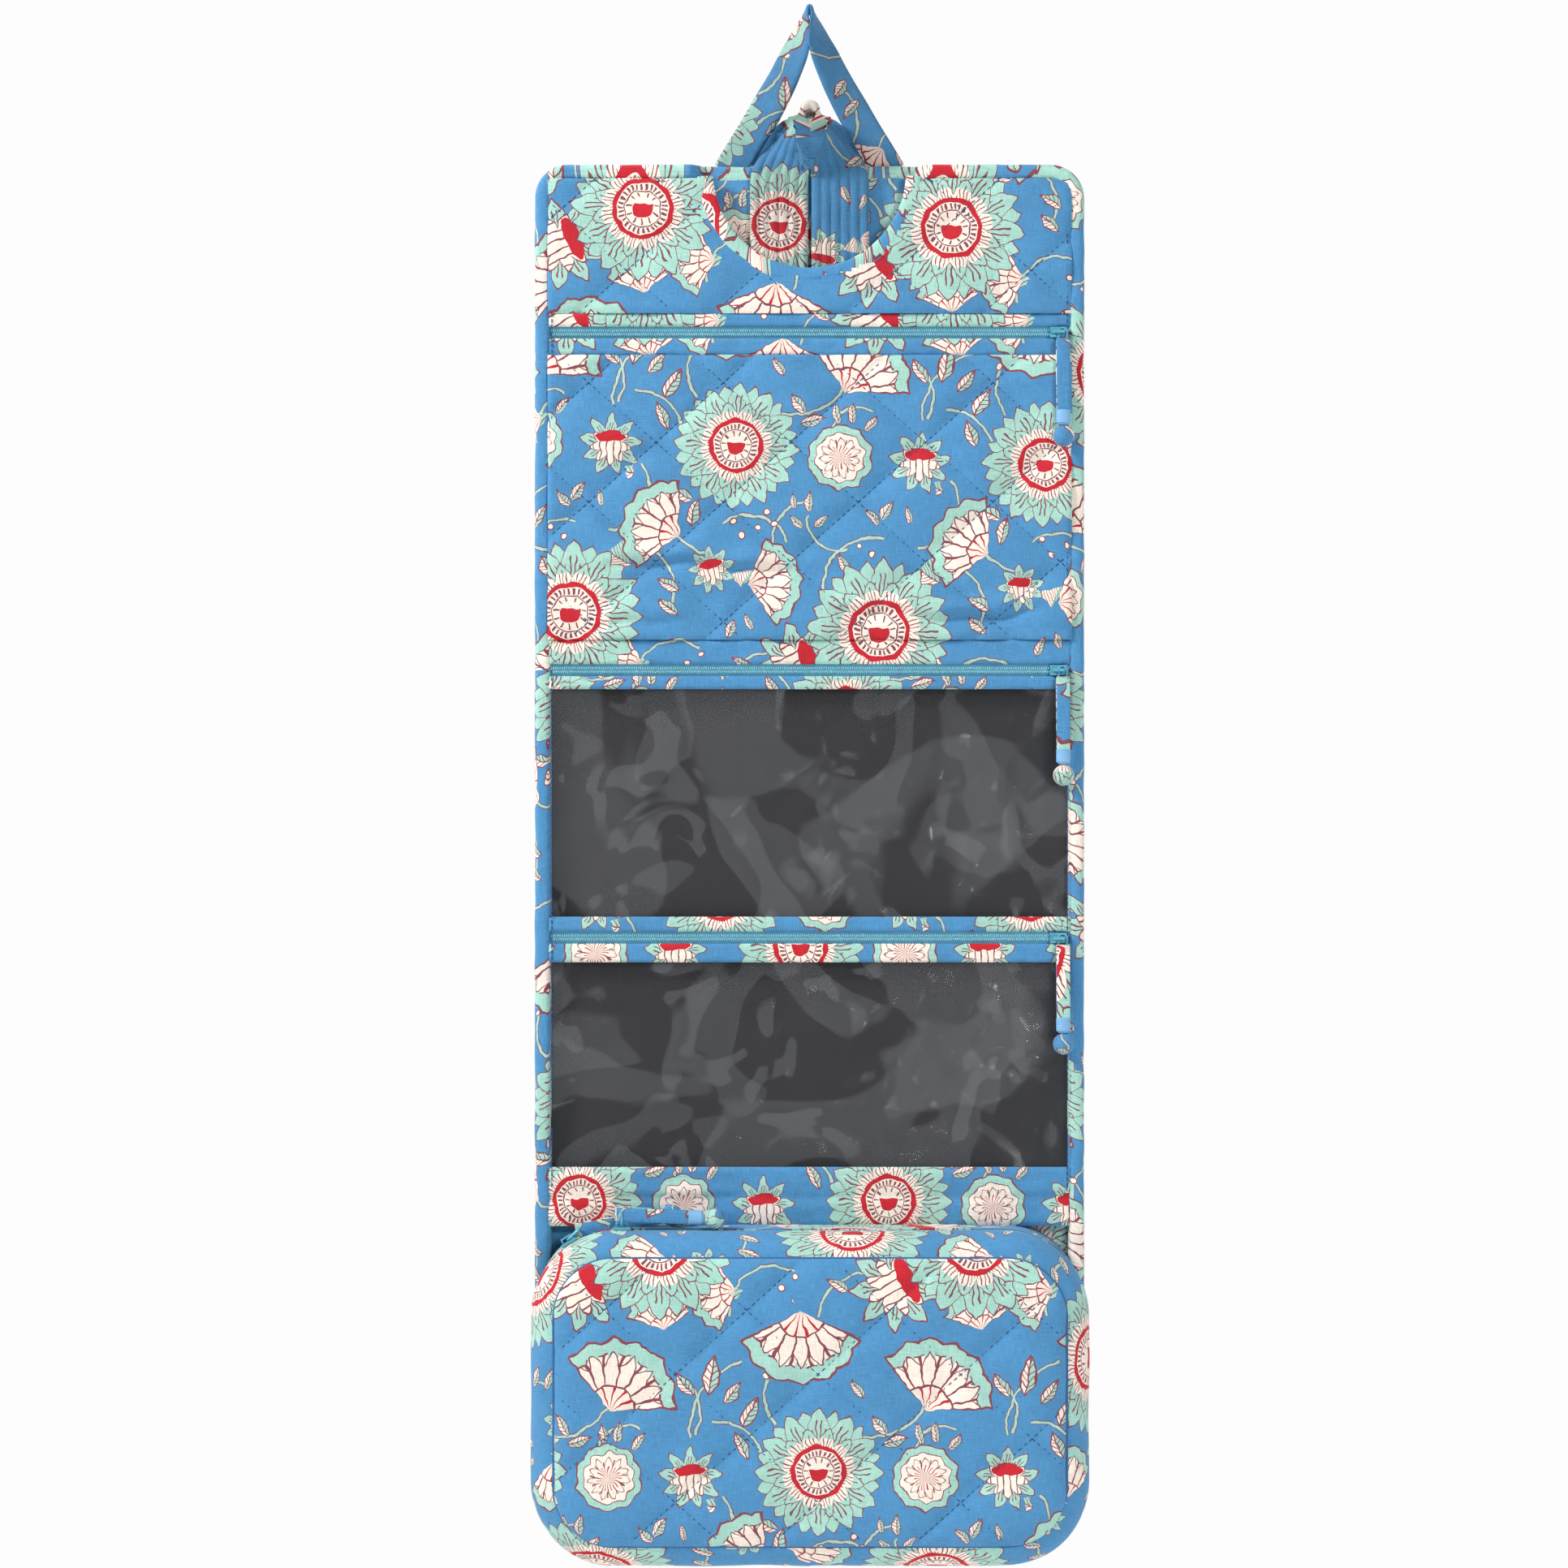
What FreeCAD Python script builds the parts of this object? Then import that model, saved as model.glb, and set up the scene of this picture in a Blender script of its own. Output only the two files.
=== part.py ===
"""Hanging toiletry bag that unfolds into four sections, in millimetres.

The origin is the point inside the hanging loop's apex that bears on a hook. +X is to the right
of a person facing the bag, the bag's front faces -Y, and +Z is up, so the bag hangs below the
origin. Four folding bodies hang one below the other: the quilted top section, the middle section
with two clear pockets, a narrow spine and the zipped pouch. Every layer of a section lies between
the back face and the front face named in the sheet, back to front: shell, lining, pocket space,
front panel.
"""
import FreeCAD
import Part
import Sketcher
import math
import os
import re

SIZES = {
    # the sections, as heights below the hook point
    "HalfWidth": 145,
    "TopEdge": -85,
    "PocketSeam": -164,
    "ZipOneHeight": -174,
    "QuiltTop": -186,
    "QuiltBottom": -336,
    "TopFold": -343,
    "ZipTwoHeight": -352,
    "WindowOneTop": -362,
    "WindowOneBottom": -482,
    "ZipThreeHeight": -493,
    "WindowTwoTop": -506,
    "LowerFold": -586,
    "WindowTwoBottom": -614,
    "PouchFold": -632,
    "PouchTop": -644.2,
    "PouchBottom": -824,
    # the layers, front to back; -Y is forward
    "BackFace": -1,
    "ShellThickness": 3,
    "LiningThickness": 1,
    "PocketSpace": 5.5,
    "PanelThickness": 2,
    "WindowThickness": 0.5,
    "FrontFoldFace": -12.8,
    "FoldGap": 0.3,
    # the bound edges
    "BindingWidth": 8,
    "BindingProud": 0.5,
    "CornerRadius": 18,
    "CutoutRadius": 51,
    "CutoutCentre": -89,
    # the zips
    "BandGap": 3.2,
    "TapeInset": 0.6,
    "TapeReach": 6,
    "TapeThickness": 0.5,
    "CoilInner": 0.45,
    "CoilOuter": 2.1,
    "CoilHeight": 1.5,
    # the pouch
    "PouchFront": -45,
    "PouchCorner": 44,
    "GussetThickness": 2,
    "GussetZip": -30,
    "GussetZipGap": 3,
    "ZipSideReach": 56,
    "TabDrop": 40,
    # the sliders and their pulls
    "SliderLength": 8.8,
    "SliderWidth": 5.4,
    "SliderPlate": 1.4,
    "SliderClearance": 0.3,
    "SliderTongue": 0.3,
    "LugInner": 2.6,
    "LugPost": 0.6,
    "LugWidth": 1.6,
    "LugGap": 1.9,
    "LugRoof": 0.8,
    "BailWire": 1.2,
    "BailRadius": 2.1,
    "BailLength": 4.4,
    "BailPlay": 0.75,
    "PullLength": 60,
    "PullWidth": 7,
    "PullThickness": 2.4,
    "PullTilt": 3.5,
    "BeadRadius": 5.75,
    "SliderRest": 131,
    "PouchSliderRest": -98,
    "CornerSliderTurn": 33,
    # the straps
    "LoopWidth": 18,
    "LoopThickness": 2,
    "LoopHalfSpan": 37,
    "LoopEnd": -77.5,
    "LoopAnchorDrop": 15,
    "HandleWidth": 30.6,
    "HandleThickness": 3,
    "HandlePlane": -8.2,
    "HandleCrownLean": 10,
    "HandleOffset": 16.2,
    "HandleShoulder": -89,
    "HandleTop": -57,
    "HandleHinge": -124,
    "HandleFoot": -150,
}

HALF_INSIDE = "(HalfWidth - BindingWidth)"
SHELL_FRONT = "(BackFace - ShellThickness)"
LINING_FRONT = "(BackFace - ShellThickness - LiningThickness)"
PANEL_BACK = "(BackFace - ShellThickness - LiningThickness - PocketSpace)"
PANEL_FRONT = "(BackFace - ShellThickness - LiningThickness - PocketSpace - PanelThickness)"
BINDING_FRONT = f"({PANEL_FRONT} - BindingProud)"

doc = FreeCAD.newDocument("ToiletryBag")
pieces = []


def make_sheet():
    """The spreadsheet of driving dimensions, one named cell each."""
    sheet = doc.addObject("Spreadsheet::Sheet", "Sizes")
    for row, (name, value) in enumerate(SIZES.items(), start=1):
        sheet.set(f"A{row}", name)
        sheet.set(f"B{row}", str(value))
        sheet.setAlias(f"B{row}", name)
    doc.recompute()
    return sheet


def linked(expression):
    """An expression in which each size's name points at its cell."""
    return re.sub(r"[A-Z][A-Za-z]+", lambda m: "Sizes." + m.group(0) if m.group(0) in SIZES else m.group(0),
                  str(expression))


def bind(thing, prop, expression):
    thing.setExpression(prop, linked(expression))


def keep(thing, label):
    """Names a finished piece and puts it on the list to write out."""
    thing.Label = label
    pieces.append(thing)
    return thing


def block(name, x, y, z):
    """A plain block between two places on each axis."""
    solid = doc.addObject("Part::Box", name)
    for side, axis, (low, high) in zip(("Length", "Width", "Height"), "xyz", (x, y, z)):
        bind(solid, side, f"({high}) - ({low})")
        bind(solid, f"Placement.Base.{axis}", low)
    return solid


def plate(label, y, z, half=HALF_INSIDE):
    """A piece that is one block, centred left to right."""
    return keep(block(label, (f"-{half}", half), y, z), label)


def joined(label, things, kind="Part::MultiFuse"):
    """Several solids as one piece."""
    whole = doc.addObject(kind, label)
    setattr(whole, "Links" if kind == "Part::Compound" else "Shapes", things)
    return keep(whole, label)


def cut(name, base, tool):
    rest = doc.addObject("Part::Cut", name)
    rest.Base, rest.Tool = base, tool
    return rest


def common(name, base, tool):
    shared = doc.addObject("Part::Common", name)
    shared.Base, shared.Tool = base, tool
    return shared


def outline(name, half, top, bottom, y, top_radius, bottom_radius=None):
    """A padded body with a rectangular outline whose corners may be rounded."""
    back, front = y[1], y[0]
    body = doc.addObject("PartDesign::Body", name)
    sketch = body.newObject("Sketcher::SketchObject", name + "Outline")
    plane = [f for f in body.Origin.OriginFeatures if f.Role == "XZ_Plane"][0]
    sketch.AttachmentSupport = [(plane, "")]
    sketch.MapMode = "FlatFace"
    bind(sketch, "AttachmentOffset.Base.z", f"-({back})")
    # drawn clockwise from the top left at a rough size; the sheet's sizes then pull it into shape
    reach, inset = 100, 20
    low, high = -300, -100
    corners = [(-reach, high, 90), (reach, high, 0), (reach, low, -90), (-reach, low, 180)]
    radii = [top_radius, top_radius, bottom_radius, bottom_radius]
    ends, arcs = [], []
    for (x, z, first), radius in zip(corners, radii):
        if radius is None:
            ends.append((FreeCAD.Vector(x, z, 0), FreeCAD.Vector(x, z, 0)))
            arcs.append(None)
            continue
        centre = FreeCAD.Vector(x - math.copysign(inset, x), z - math.copysign(inset, z + 200), 0)
        circle = Part.Circle(centre, FreeCAD.Vector(0, 0, 1), inset)
        arc = Part.ArcOfCircle(circle, math.radians(first), math.radians(first + 90))
        ends.append((arc.EndPoint, arc.StartPoint))
        arcs.append(sketch.addGeometry(arc, False))
    lines = [sketch.addGeometry(Part.LineSegment(ends[i][1], ends[(i + 1) % 4][0]), False) for i in range(4)]
    for i, radius in enumerate(radii):
        before, after = lines[i - 1], lines[i]
        if radius is None:
            sketch.addConstraint(Sketcher.Constraint("Coincident", before, 2, after, 1))
            continue
        sketch.addConstraint(Sketcher.Constraint("Tangent", before, 2, arcs[i], 2))
        sketch.addConstraint(Sketcher.Constraint("Tangent", after, 1, arcs[i], 1))
        size = sketch.addConstraint(Sketcher.Constraint("Radius", arcs[i], inset))
        bind(sketch, f"Constraints[{size}]", radius)
    for i, kind in enumerate(("Horizontal", "Vertical", "Horizontal", "Vertical")):
        sketch.addConstraint(Sketcher.Constraint(kind, lines[i]))
    root = (-1, 1)
    for kind, first, second, value in (
        ("DistanceY", (lines[0], 1), root, f"-({top})"),
        ("DistanceX", root, (lines[1], 1), half),
        ("DistanceY", (lines[2], 1), root, f"-({bottom})"),
        ("DistanceX", (lines[3], 1), root, half),
    ):
        number = sketch.addConstraint(Sketcher.Constraint(kind, *first, *second, 100.0))
        bind(sketch, f"Constraints[{number}]", value)
    pad = body.newObject("PartDesign::Pad", name + "Pad")
    pad.Profile = sketch
    bind(pad, "Length", f"({back}) - ({front})")
    return body


def across(name, radius, z, y):
    """A round bar that points forward, for cutting through the layers."""
    bar = doc.addObject("Part::Cylinder", name)
    bind(bar, "Radius", radius)
    bind(bar, "Height", f"({y[1]}) - ({y[0]})")
    bar.Placement.Rotation = FreeCAD.Rotation(FreeCAD.Vector(1, 0, 0), 90)
    bind(bar, "Placement.Base.y", y[1])
    bind(bar, "Placement.Base.z", z)
    return bar


def ribbon(sheet, points, turns, width, thickness):
    """A flat strap along points in an XZ plane. A turn of 0 shows its edge to the front, 90 its face."""
    sections = []
    for i, point in enumerate(points):
        ahead, behind = points[min(i + 1, len(points) - 1)], points[max(i - 1, 0)]
        tangent = (ahead - behind).normalize()
        inplane = tangent.cross(FreeCAD.Vector(0, 1, 0)).normalize()
        turn = math.radians(turns[i])
        wide = FreeCAD.Vector(0, math.cos(turn), 0) + inplane * math.sin(turn)
        deep = tangent.cross(wide).normalize()
        corners = [point + wide * (a * width / 2) + deep * (b * thickness / 2)
                   for a, b in ((-1, -1), (1, -1), (1, 1), (-1, 1))]
        sections.append(Part.makePolygon(corners + corners[:1]))
    return Part.makeLoft(sections, True, True)


def eased(share):
    """0 to 1 with a gentle start and end."""
    return share * share * (3 - 2 * share)


def hanging_loop(sheet):
    """A strap bent over the hook, its edge forward at the apex and its faces forward at its ends."""
    half = sheet.LoopHalfSpan
    bend, thick = 3.0, sheet.LoopThickness
    top = thick / 2
    neck = FreeCAD.Vector(6.5, 0, -22)
    foot = FreeCAD.Vector(half, 0, sheet.LoopEnd)
    right = [FreeCAD.Vector(bend * math.sin(math.radians(a)), 0, top - bend + bend * math.cos(math.radians(a)))
             for a in (30, 60, 78)]
    turns = [0, 0, 0]
    for share in (0.0, 0.15, 0.3, 0.45, 0.6, 0.75, 0.88, 1.0):
        right.append(neck + (foot - neck) * share)
        turns.append(90 * eased(min(1.0, 0.12 + share)))
    left = [FreeCAD.Vector(-p.x, p.y, p.z) for p in reversed(right)]
    points = left + [FreeCAD.Vector(0, 0, top)] + right
    strap = doc.addObject("Part::Feature", "hanging_loop")
    strap.Shape = ribbon(sheet, points, [-t for t in reversed(turns)] + [0] + turns, sheet.LoopWidth, thick)
    return keep(strap, "hanging_loop")


def carry_handle(sheet):
    """A quilted strap that stands up from the back panel, its two legs side by side."""
    offset, plane = sheet.HandleOffset, sheet.HandlePlane
    thick, top = sheet.HandleThickness, sheet.HandleTop
    crown = [(2.6, 1.6, 8), (4.6, 5.5, 18), (7.5, 12.0, 42), (11.0, 20.5, 84), (14.2, 26.0, 90)]
    right = [FreeCAD.Vector(x, plane - sheet.HandleCrownLean * (1 - turn / 90), top - thick / 2 - drop)
             for x, drop, turn in crown]
    right += [FreeCAD.Vector(offset, plane, z) for z in (sheet.HandleShoulder - 4, sheet.HandleHinge + 0.15)]
    turns = [t for _, _, t in crown] + [90, 90]
    left = [FreeCAD.Vector(-p.x, p.y, p.z) for p in reversed(right)]
    points = left + [FreeCAD.Vector(0, plane - sheet.HandleCrownLean, top - thick / 2)] + right
    strap = doc.addObject("Part::Feature", "carry_handle")
    strap.Shape = ribbon(sheet, points, [-t for t in reversed(turns)] + [0] + turns, sheet.HandleWidth, thick)
    return keep(strap, "carry_handle")


def pair(label, x, y, z):
    """Two equal blocks, one each side of the middle."""
    low, high = x
    right = block(label + "Right", (low, high), y, z)
    left = block(label + "Left", (f"-({high})", f"-({low})"), y, z)
    return joined(label, [left, right], "Part::Compound")


def zip_fastener(number, height):
    """The two tapes and the two rows of coil of a straight zip that runs left to right."""
    tape_y = (f"{PANEL_BACK} + 0.1", f"{PANEL_BACK} + 0.1 + TapeThickness")
    coil_y = (f"{PANEL_BACK} + 0.05 - CoilHeight", f"{PANEL_BACK} + 0.05")
    for label, y, low, high in (("tapes", tape_y, "TapeInset", "TapeReach"), ("coil", coil_y, "CoilInner", "CoilOuter")):
        name = f"zip_{number}_{label}"
        upper = block(name + "Upper", (f"-{HALF_INSIDE}", HALF_INSIDE), y, (f"{height} + {low}", f"{height} + {high}"))
        lower = block(name + "Lower", (f"-{HALF_INSIDE}", HALF_INSIDE), y, (f"{height} - {high}", f"{height} - {low}"))
        joined(name, [upper, lower], "Part::Compound")


def top_section():
    shell_z = (f"TopFold + FoldGap / 2", "TopEdge")
    whole_y = (BINDING_FRONT, "BackFace")
    inside = "CornerRadius - BindingWidth"
    outer = outline("BindingOutside", "HalfWidth", shell_z[1], shell_z[0], whole_y, "CornerRadius")
    inner = outline("BindingInside", HALF_INSIDE, "TopEdge - BindingWidth", f"{shell_z[0]} - 1",
                    (f"{BINDING_FRONT} - 1", "BackFace + 1"), inside)
    notch = block("HandleNotch", ("-CutoutRadius - BindingWidth", "CutoutRadius + BindingWidth"),
                  (f"{BINDING_FRONT} - 1", f"{LINING_FRONT} - BindingProud"), ("TopEdge - 2 * BindingWidth", "TopEdge + 1"))
    keep(cut("edge_binding_top", cut("BindingFrame", outer, inner), notch), "edge_binding_top")
    for label, y in (("back_shell_top", (SHELL_FRONT, "BackFace")), ("inner_panel_top", (LINING_FRONT, SHELL_FRONT))):
        keep(outline(label, HALF_INSIDE, "TopEdge - BindingWidth", shell_z[0], y, inside), label)
    front_y = (PANEL_FRONT, PANEL_BACK)
    pocket = outline("SlipPocketBlank", HALF_INSIDE, "TopEdge - BindingWidth", "PocketSeam", front_y, inside)
    hole = across("CutoutHole", "CutoutRadius + BindingWidth", "CutoutCentre", (f"{PANEL_FRONT} - 1", f"{PANEL_BACK} + 1"))
    keep(cut("slip_pocket_front", pocket, hole), "slip_pocket_front")
    rim_y = (BINDING_FRONT, f"{PANEL_BACK} + BindingProud")
    rim = across("RimOutside", "CutoutRadius + BindingWidth - 0.02", "CutoutCentre", rim_y)
    gap = across("RimInside", "CutoutRadius", "CutoutCentre", (f"{rim_y[0]} - 1", f"{rim_y[1]} + 1"))
    below = block("RimBelow", ("-HalfWidth", "HalfWidth"), (f"{rim_y[0]} - 2", f"{rim_y[1]} + 2"),
                  ("PocketSeam", "TopEdge - BindingWidth - 0.02"))
    keep(common("cutout_binding", cut("RimRing", rim, gap), below), "cutout_binding")
    seam_z = ("ZipOneHeight + BandGap", "PocketSeam")
    face = block("BandOneFace", (f"-{HALF_INSIDE}", HALF_INSIDE), front_y, seam_z)
    root = block("BandOneRoot", (f"-{HALF_INSIDE}", HALF_INSIDE), (PANEL_FRONT, LINING_FRONT),
                 ("ZipOneHeight + TapeReach + 0.2", "PocketSeam"))
    joined("zip_band_1_upper", [face, root])
    plate("zip_band_1_lower", front_y, ("QuiltTop", "ZipOneHeight - BandGap"))
    plate("quilted_pocket_front", front_y, ("QuiltBottom", "QuiltTop"))
    plate("pocket_foot_top", (PANEL_FRONT, LINING_FRONT), (shell_z[0], "QuiltBottom"))
    zip_fastener(1, "ZipOneHeight")
    foot_z = ("HandleFoot", "HandleHinge - 0.15")
    handle_y = ("HandlePlane - HandleThickness / 2", "HandlePlane + HandleThickness / 2")
    pair("handle_base", ("HandleOffset - HandleWidth / 2", "HandleOffset + HandleWidth / 2"), handle_y, foot_z)
    pair("loop_ends", ("LoopHalfSpan - LoopWidth / 2", "LoopHalfSpan + LoopWidth / 2"),
         ("BackFace + 0.05", "BackFace + 0.05 + LoopThickness"),
         ("TopEdge - LoopAnchorDrop", "TopEdge + 1.5"))


def middle_section():
    span = ("LowerFold + FoldGap / 2", "TopFold - FoldGap / 2")
    plate("back_shell_middle", (SHELL_FRONT, "BackFace"), span)
    plate("lining_middle", (LINING_FRONT, SHELL_FRONT), span)
    pair("edge_binding_middle", (HALF_INSIDE, "HalfWidth"), (BINDING_FRONT, "BackFace"), span)
    front_y = (PANEL_FRONT, PANEL_BACK)
    full_y = (PANEL_FRONT, LINING_FRONT)
    window_y = (f"{PANEL_BACK} - WindowThickness", PANEL_BACK)
    for number, height, top, window_top, window_bottom in (
        (2, "ZipTwoHeight", span[1], "WindowOneTop", "WindowOneBottom"),
        (3, "ZipThreeHeight", "WindowOneBottom", "WindowTwoTop", span[0]),
    ):
        face = block(f"BandFace{number}", (f"-{HALF_INSIDE}", HALF_INSIDE), front_y, (f"{height} + BandGap", top))
        root = block(f"BandRoot{number}", (f"-{HALF_INSIDE}", HALF_INSIDE), full_y, (f"{height} + TapeReach + 0.2", top))
        joined(f"zip_band_{number}_upper", [face, root])
        plate(f"zip_band_{number}_lower", front_y, (window_top, f"{height} - BandGap"))
        zip_fastener(number, height)
        plate(f"clear_window_{number - 1}", window_y, (window_bottom, window_top))


def spine_section():
    span = ("PouchFold + FoldGap / 2", "LowerFold - FoldGap / 2")
    plate("back_shell_spine", (SHELL_FRONT, "BackFace"), span)
    plate("lining_spine", (LINING_FRONT, SHELL_FRONT), span)
    pair("edge_binding_spine", (HALF_INSIDE, "HalfWidth"), (BINDING_FRONT, "BackFace"), span)
    plate("clear_window_2_foot", (f"{PANEL_BACK} - WindowThickness", PANEL_BACK), ("WindowTwoBottom", span[1]))
    plate("printed_strip", (PANEL_FRONT, LINING_FRONT), (span[0], "WindowTwoBottom"))


def ring(name, inset, wall, y):
    """A wall that follows the pouch's outline, some way in from its outside."""
    corner = f"PouchCorner - ({inset})"
    outside = outline(name + "Out", f"HalfWidth - ({inset})", f"PouchTop - ({inset})",
                      f"PouchBottom + ({inset})", y, corner, corner)
    deeper = f"{inset} + {wall}"
    corner = f"PouchCorner - ({deeper})"
    inside = outline(name + "In", f"HalfWidth - ({deeper})", f"PouchTop - ({deeper})",
                     f"PouchBottom + ({deeper})", (f"{y[0]} - 1", f"{y[1]} + 1"), corner, corner)
    return cut(name, outside, inside)


def pouch_section():
    zip_foot = "PouchTop - ZipSideReach"
    reach = ("-HalfWidth - 5", "HalfWidth + 5")
    panel = outline("PouchBack", "HalfWidth", "PouchTop", "PouchBottom", (SHELL_FRONT, "BackFace"),
                    "PouchCorner", "PouchCorner")
    tab = block("PouchTab", (f"-{HALF_INSIDE}", HALF_INSIDE), (SHELL_FRONT, "BackFace"),
                ("PouchTop - TabDrop", "PouchFold - FoldGap / 2"))
    facing = block("PouchFacing", (f"-{HALF_INSIDE}", HALF_INSIDE), (PANEL_FRONT, SHELL_FRONT),
                   ("PouchTop + 0.1", "PouchFold - FoldGap / 2"))
    joined("pouch_back_panel", [panel, tab, facing])
    front_back = "PouchFront + PanelThickness"
    keep(outline("pouch_front_panel", "HalfWidth", "PouchTop", "PouchBottom", ("PouchFront", front_back),
                 "PouchCorner", "PouchCorner"), "pouch_front_panel")
    wall = ring("GussetWall", "0", "GussetThickness", (front_back, SHELL_FRONT))
    depth = ("PouchFront - 5", "BackFace + 5")
    for label, y, z in (
        ("pouch_gusset_lower", depth, ("PouchBottom - 5", zip_foot)),
        ("pouch_gusset_back", ("GussetZip + GussetZipGap", "BackFace + 5"), (zip_foot, "PouchTop + 5")),
        ("pouch_gusset_front", ("PouchFront - 5", "GussetZip - GussetZipGap"), (zip_foot, "PouchTop + 5")),
    ):
        keep(common(label, wall, block(label + "Zone", reach, y, z)), label)
    above = block("ZipZone", reach, depth, (f"{zip_foot} + 0.2", "PouchTop + 5"))
    for label, inset, thickness, low, high in (
        ("pouch_zip_coil", "0.1", "CoilHeight", "CoilInner", "CoilOuter"),
        ("pouch_zip_tapes", "GussetThickness + 0.1", "TapeThickness", "TapeInset", "TapeReach"),
    ):
        rows = [ring(label + side, inset, thickness, y) for side, y in (
            ("Front", (f"GussetZip - {high}", f"GussetZip - {low}")),
            ("Back", (f"GussetZip + {low}", f"GussetZip + {high}")),
        )]
        joined(label, [common(row.Name + "Top", row, above) for row in rows], "Part::Compound")


def slider(label, place, roof_depth, foot_depth):
    """A zip slider: plates above and below the coil, the tongue between them and the pull's lug.

    Its own frame has X along the zip, Y across it and Z out of the fabric, with 0 on the coil's
    outer face. roof_depth is how far the lower plate's top lies below that face.
    """
    long, wide = "SliderLength / 2", "SliderWidth / 2"
    base = "SliderClearance"
    plate_top = "SliderClearance + SliderPlate"
    lug_top = f"{plate_top} + LugGap + LugRoof"
    lug = "LugWidth / 2"
    parts = [
        block(label + "Top", (f"-{long}", long), (f"-{wide}", wide), (base, plate_top)),
        block(label + "Bottom", (f"-{long}", long), (f"-{wide}", wide), (f"-{foot_depth}", f"-{roof_depth}")),
        block(label + "Tongue", (f"-{long} + 0.4", f"-{long} + 3.4"), ("-SliderTongue", "SliderTongue"),
              (f"-{roof_depth} - 0.1", f"{base} + 0.1")),
        block(label + "PostA", ("-LugInner - LugPost", "-LugInner"), (f"-{lug}", lug), (f"{plate_top} - 0.1", lug_top)),
        block(label + "PostB", ("LugInner", "LugInner + LugPost"), (f"-{lug}", lug), (f"{plate_top} - 0.1", lug_top)),
        block(label + "Roof", ("-LugInner - LugPost", "LugInner + LugPost"), (f"-{lug}", lug),
              (f"{plate_top} + LugGap", lug_top)),
    ]
    whole = joined(label, parts)
    whole.Placement = place
    return whole


def bail_path(sheet):
    """The centre line of the wire ring: two half circles and two straights in the XZ plane."""
    radius, length = sheet.BailRadius, sheet.BailLength
    left, right = FreeCAD.Vector(-radius, 0, 0), FreeCAD.Vector(radius, 0, 0)
    low = FreeCAD.Vector(0, 0, -length)
    over = Part.Arc(left, FreeCAD.Vector(0, 0, radius), right).toShape()
    under = Part.Arc(right + low, FreeCAD.Vector(0, 0, -length - radius), left + low).toShape()
    return Part.Wire([over, Part.makeLine(right, right + low), under, Part.makeLine(left + low, left)])


def ring_of_wire(sheet, diameter):
    path = bail_path(sheet)
    profile = Part.Wire([Part.makeCircle(diameter / 2, FreeCAD.Vector(-sheet.BailRadius, 0, -sheet.BailLength / 2),
                                         FreeCAD.Vector(0, 0, 1))])
    start = Part.Wire([Part.makeLine(FreeCAD.Vector(-sheet.BailRadius, 0, -sheet.BailLength / 2),
                                     FreeCAD.Vector(-sheet.BailRadius, 0, 0))] + path.Edges[:3]
                      + [Part.makeLine(FreeCAD.Vector(-sheet.BailRadius, 0, -sheet.BailLength),
                                       FreeCAD.Vector(-sheet.BailRadius, 0, -sheet.BailLength / 2))])
    return start.makePipeShell([profile], True, True)


def pull(sheet, number, ring_place, tape_place, tape_length):
    """The wire ring, the folded fabric tab through it and the covered bead on the tab's end."""
    ring_piece = doc.addObject("Part::Feature", f"pull_{number}_ring")
    ring_piece.Shape = ring_of_wire(sheet, sheet.BailWire)
    ring_piece.Placement = ring_place
    keep(ring_piece, f"pull_{number}_ring")
    room = doc.addObject("Part::Feature", f"Pull{number}Room")
    room.Shape = ring_of_wire(sheet, sheet.BailWire + 0.3)
    room.Placement = ring_place
    half = "PullWidth / 2"
    strip = block(f"Pull{number}Strip", (f"-{half}", half), ("-PullThickness / 2", "PullThickness / 2"),
                  (f"-{tape_length} + BeadRadius + 0.1", "0"))
    strip.setExpression("Placement.Base.x", None)
    strip.setExpression("Placement.Base.y", None)
    strip.setExpression("Placement.Base.z", None)
    doc.recompute()
    low = FreeCAD.Vector(-sheet.PullWidth / 2, -sheet.PullThickness / 2, -tape_length + sheet.BeadRadius + 0.1)
    strip.Placement = tape_place.multiply(FreeCAD.Placement(low, FreeCAD.Rotation()))
    keep(cut(f"pull_{number}_tab", strip, room), f"pull_{number}_tab")
    bead = doc.addObject("Part::Sphere", f"pull_{number}_bead")
    bind(bead, "Radius", "BeadRadius")
    bead.Placement = tape_place.multiply(FreeCAD.Placement(FreeCAD.Vector(0, 0, -tape_length), FreeCAD.Rotation()))
    keep(bead, f"pull_{number}_bead")


def straight_zip_hardware(sheet):
    """The sliders and hanging pulls of the three zips on the flat sections."""
    turned = FreeCAD.Rotation(FreeCAD.Vector(1, 0, 0), 90)
    panel_back = sheet.BackFace - sheet.ShellThickness - sheet.LiningThickness - sheet.PocketSpace
    coil_face = panel_back + 0.05 - sheet.CoilHeight
    ring_y = coil_face - sheet.SliderClearance - sheet.SliderPlate - sheet.BailPlay
    for number, height in ((1, sheet.ZipOneHeight), (2, sheet.ZipTwoHeight), (3, sheet.ZipThreeHeight)):
        place = FreeCAD.Placement(FreeCAD.Vector(sheet.SliderRest, coil_face, height), turned)
        slider(f"slider_{number}", place, "(CoilHeight + TapeThickness + 0.2)",
               "(CoilHeight + TapeThickness + 0.2 + SliderPlate / 2)")
        centre = FreeCAD.Vector(sheet.SliderRest + sheet.BailRadius, ring_y, height)
        hang = FreeCAD.Placement(centre, FreeCAD.Rotation())
        drop = FreeCAD.Vector(0, -1.6, -sheet.BailLength - sheet.BailRadius + 2)
        tape = FreeCAD.Placement(centre + drop, FreeCAD.Rotation(FreeCAD.Vector(1, 0, 0), -sheet.PullTilt))
        pull(sheet, number, hang, tape, sheet.PullLength + drop.z)


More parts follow.
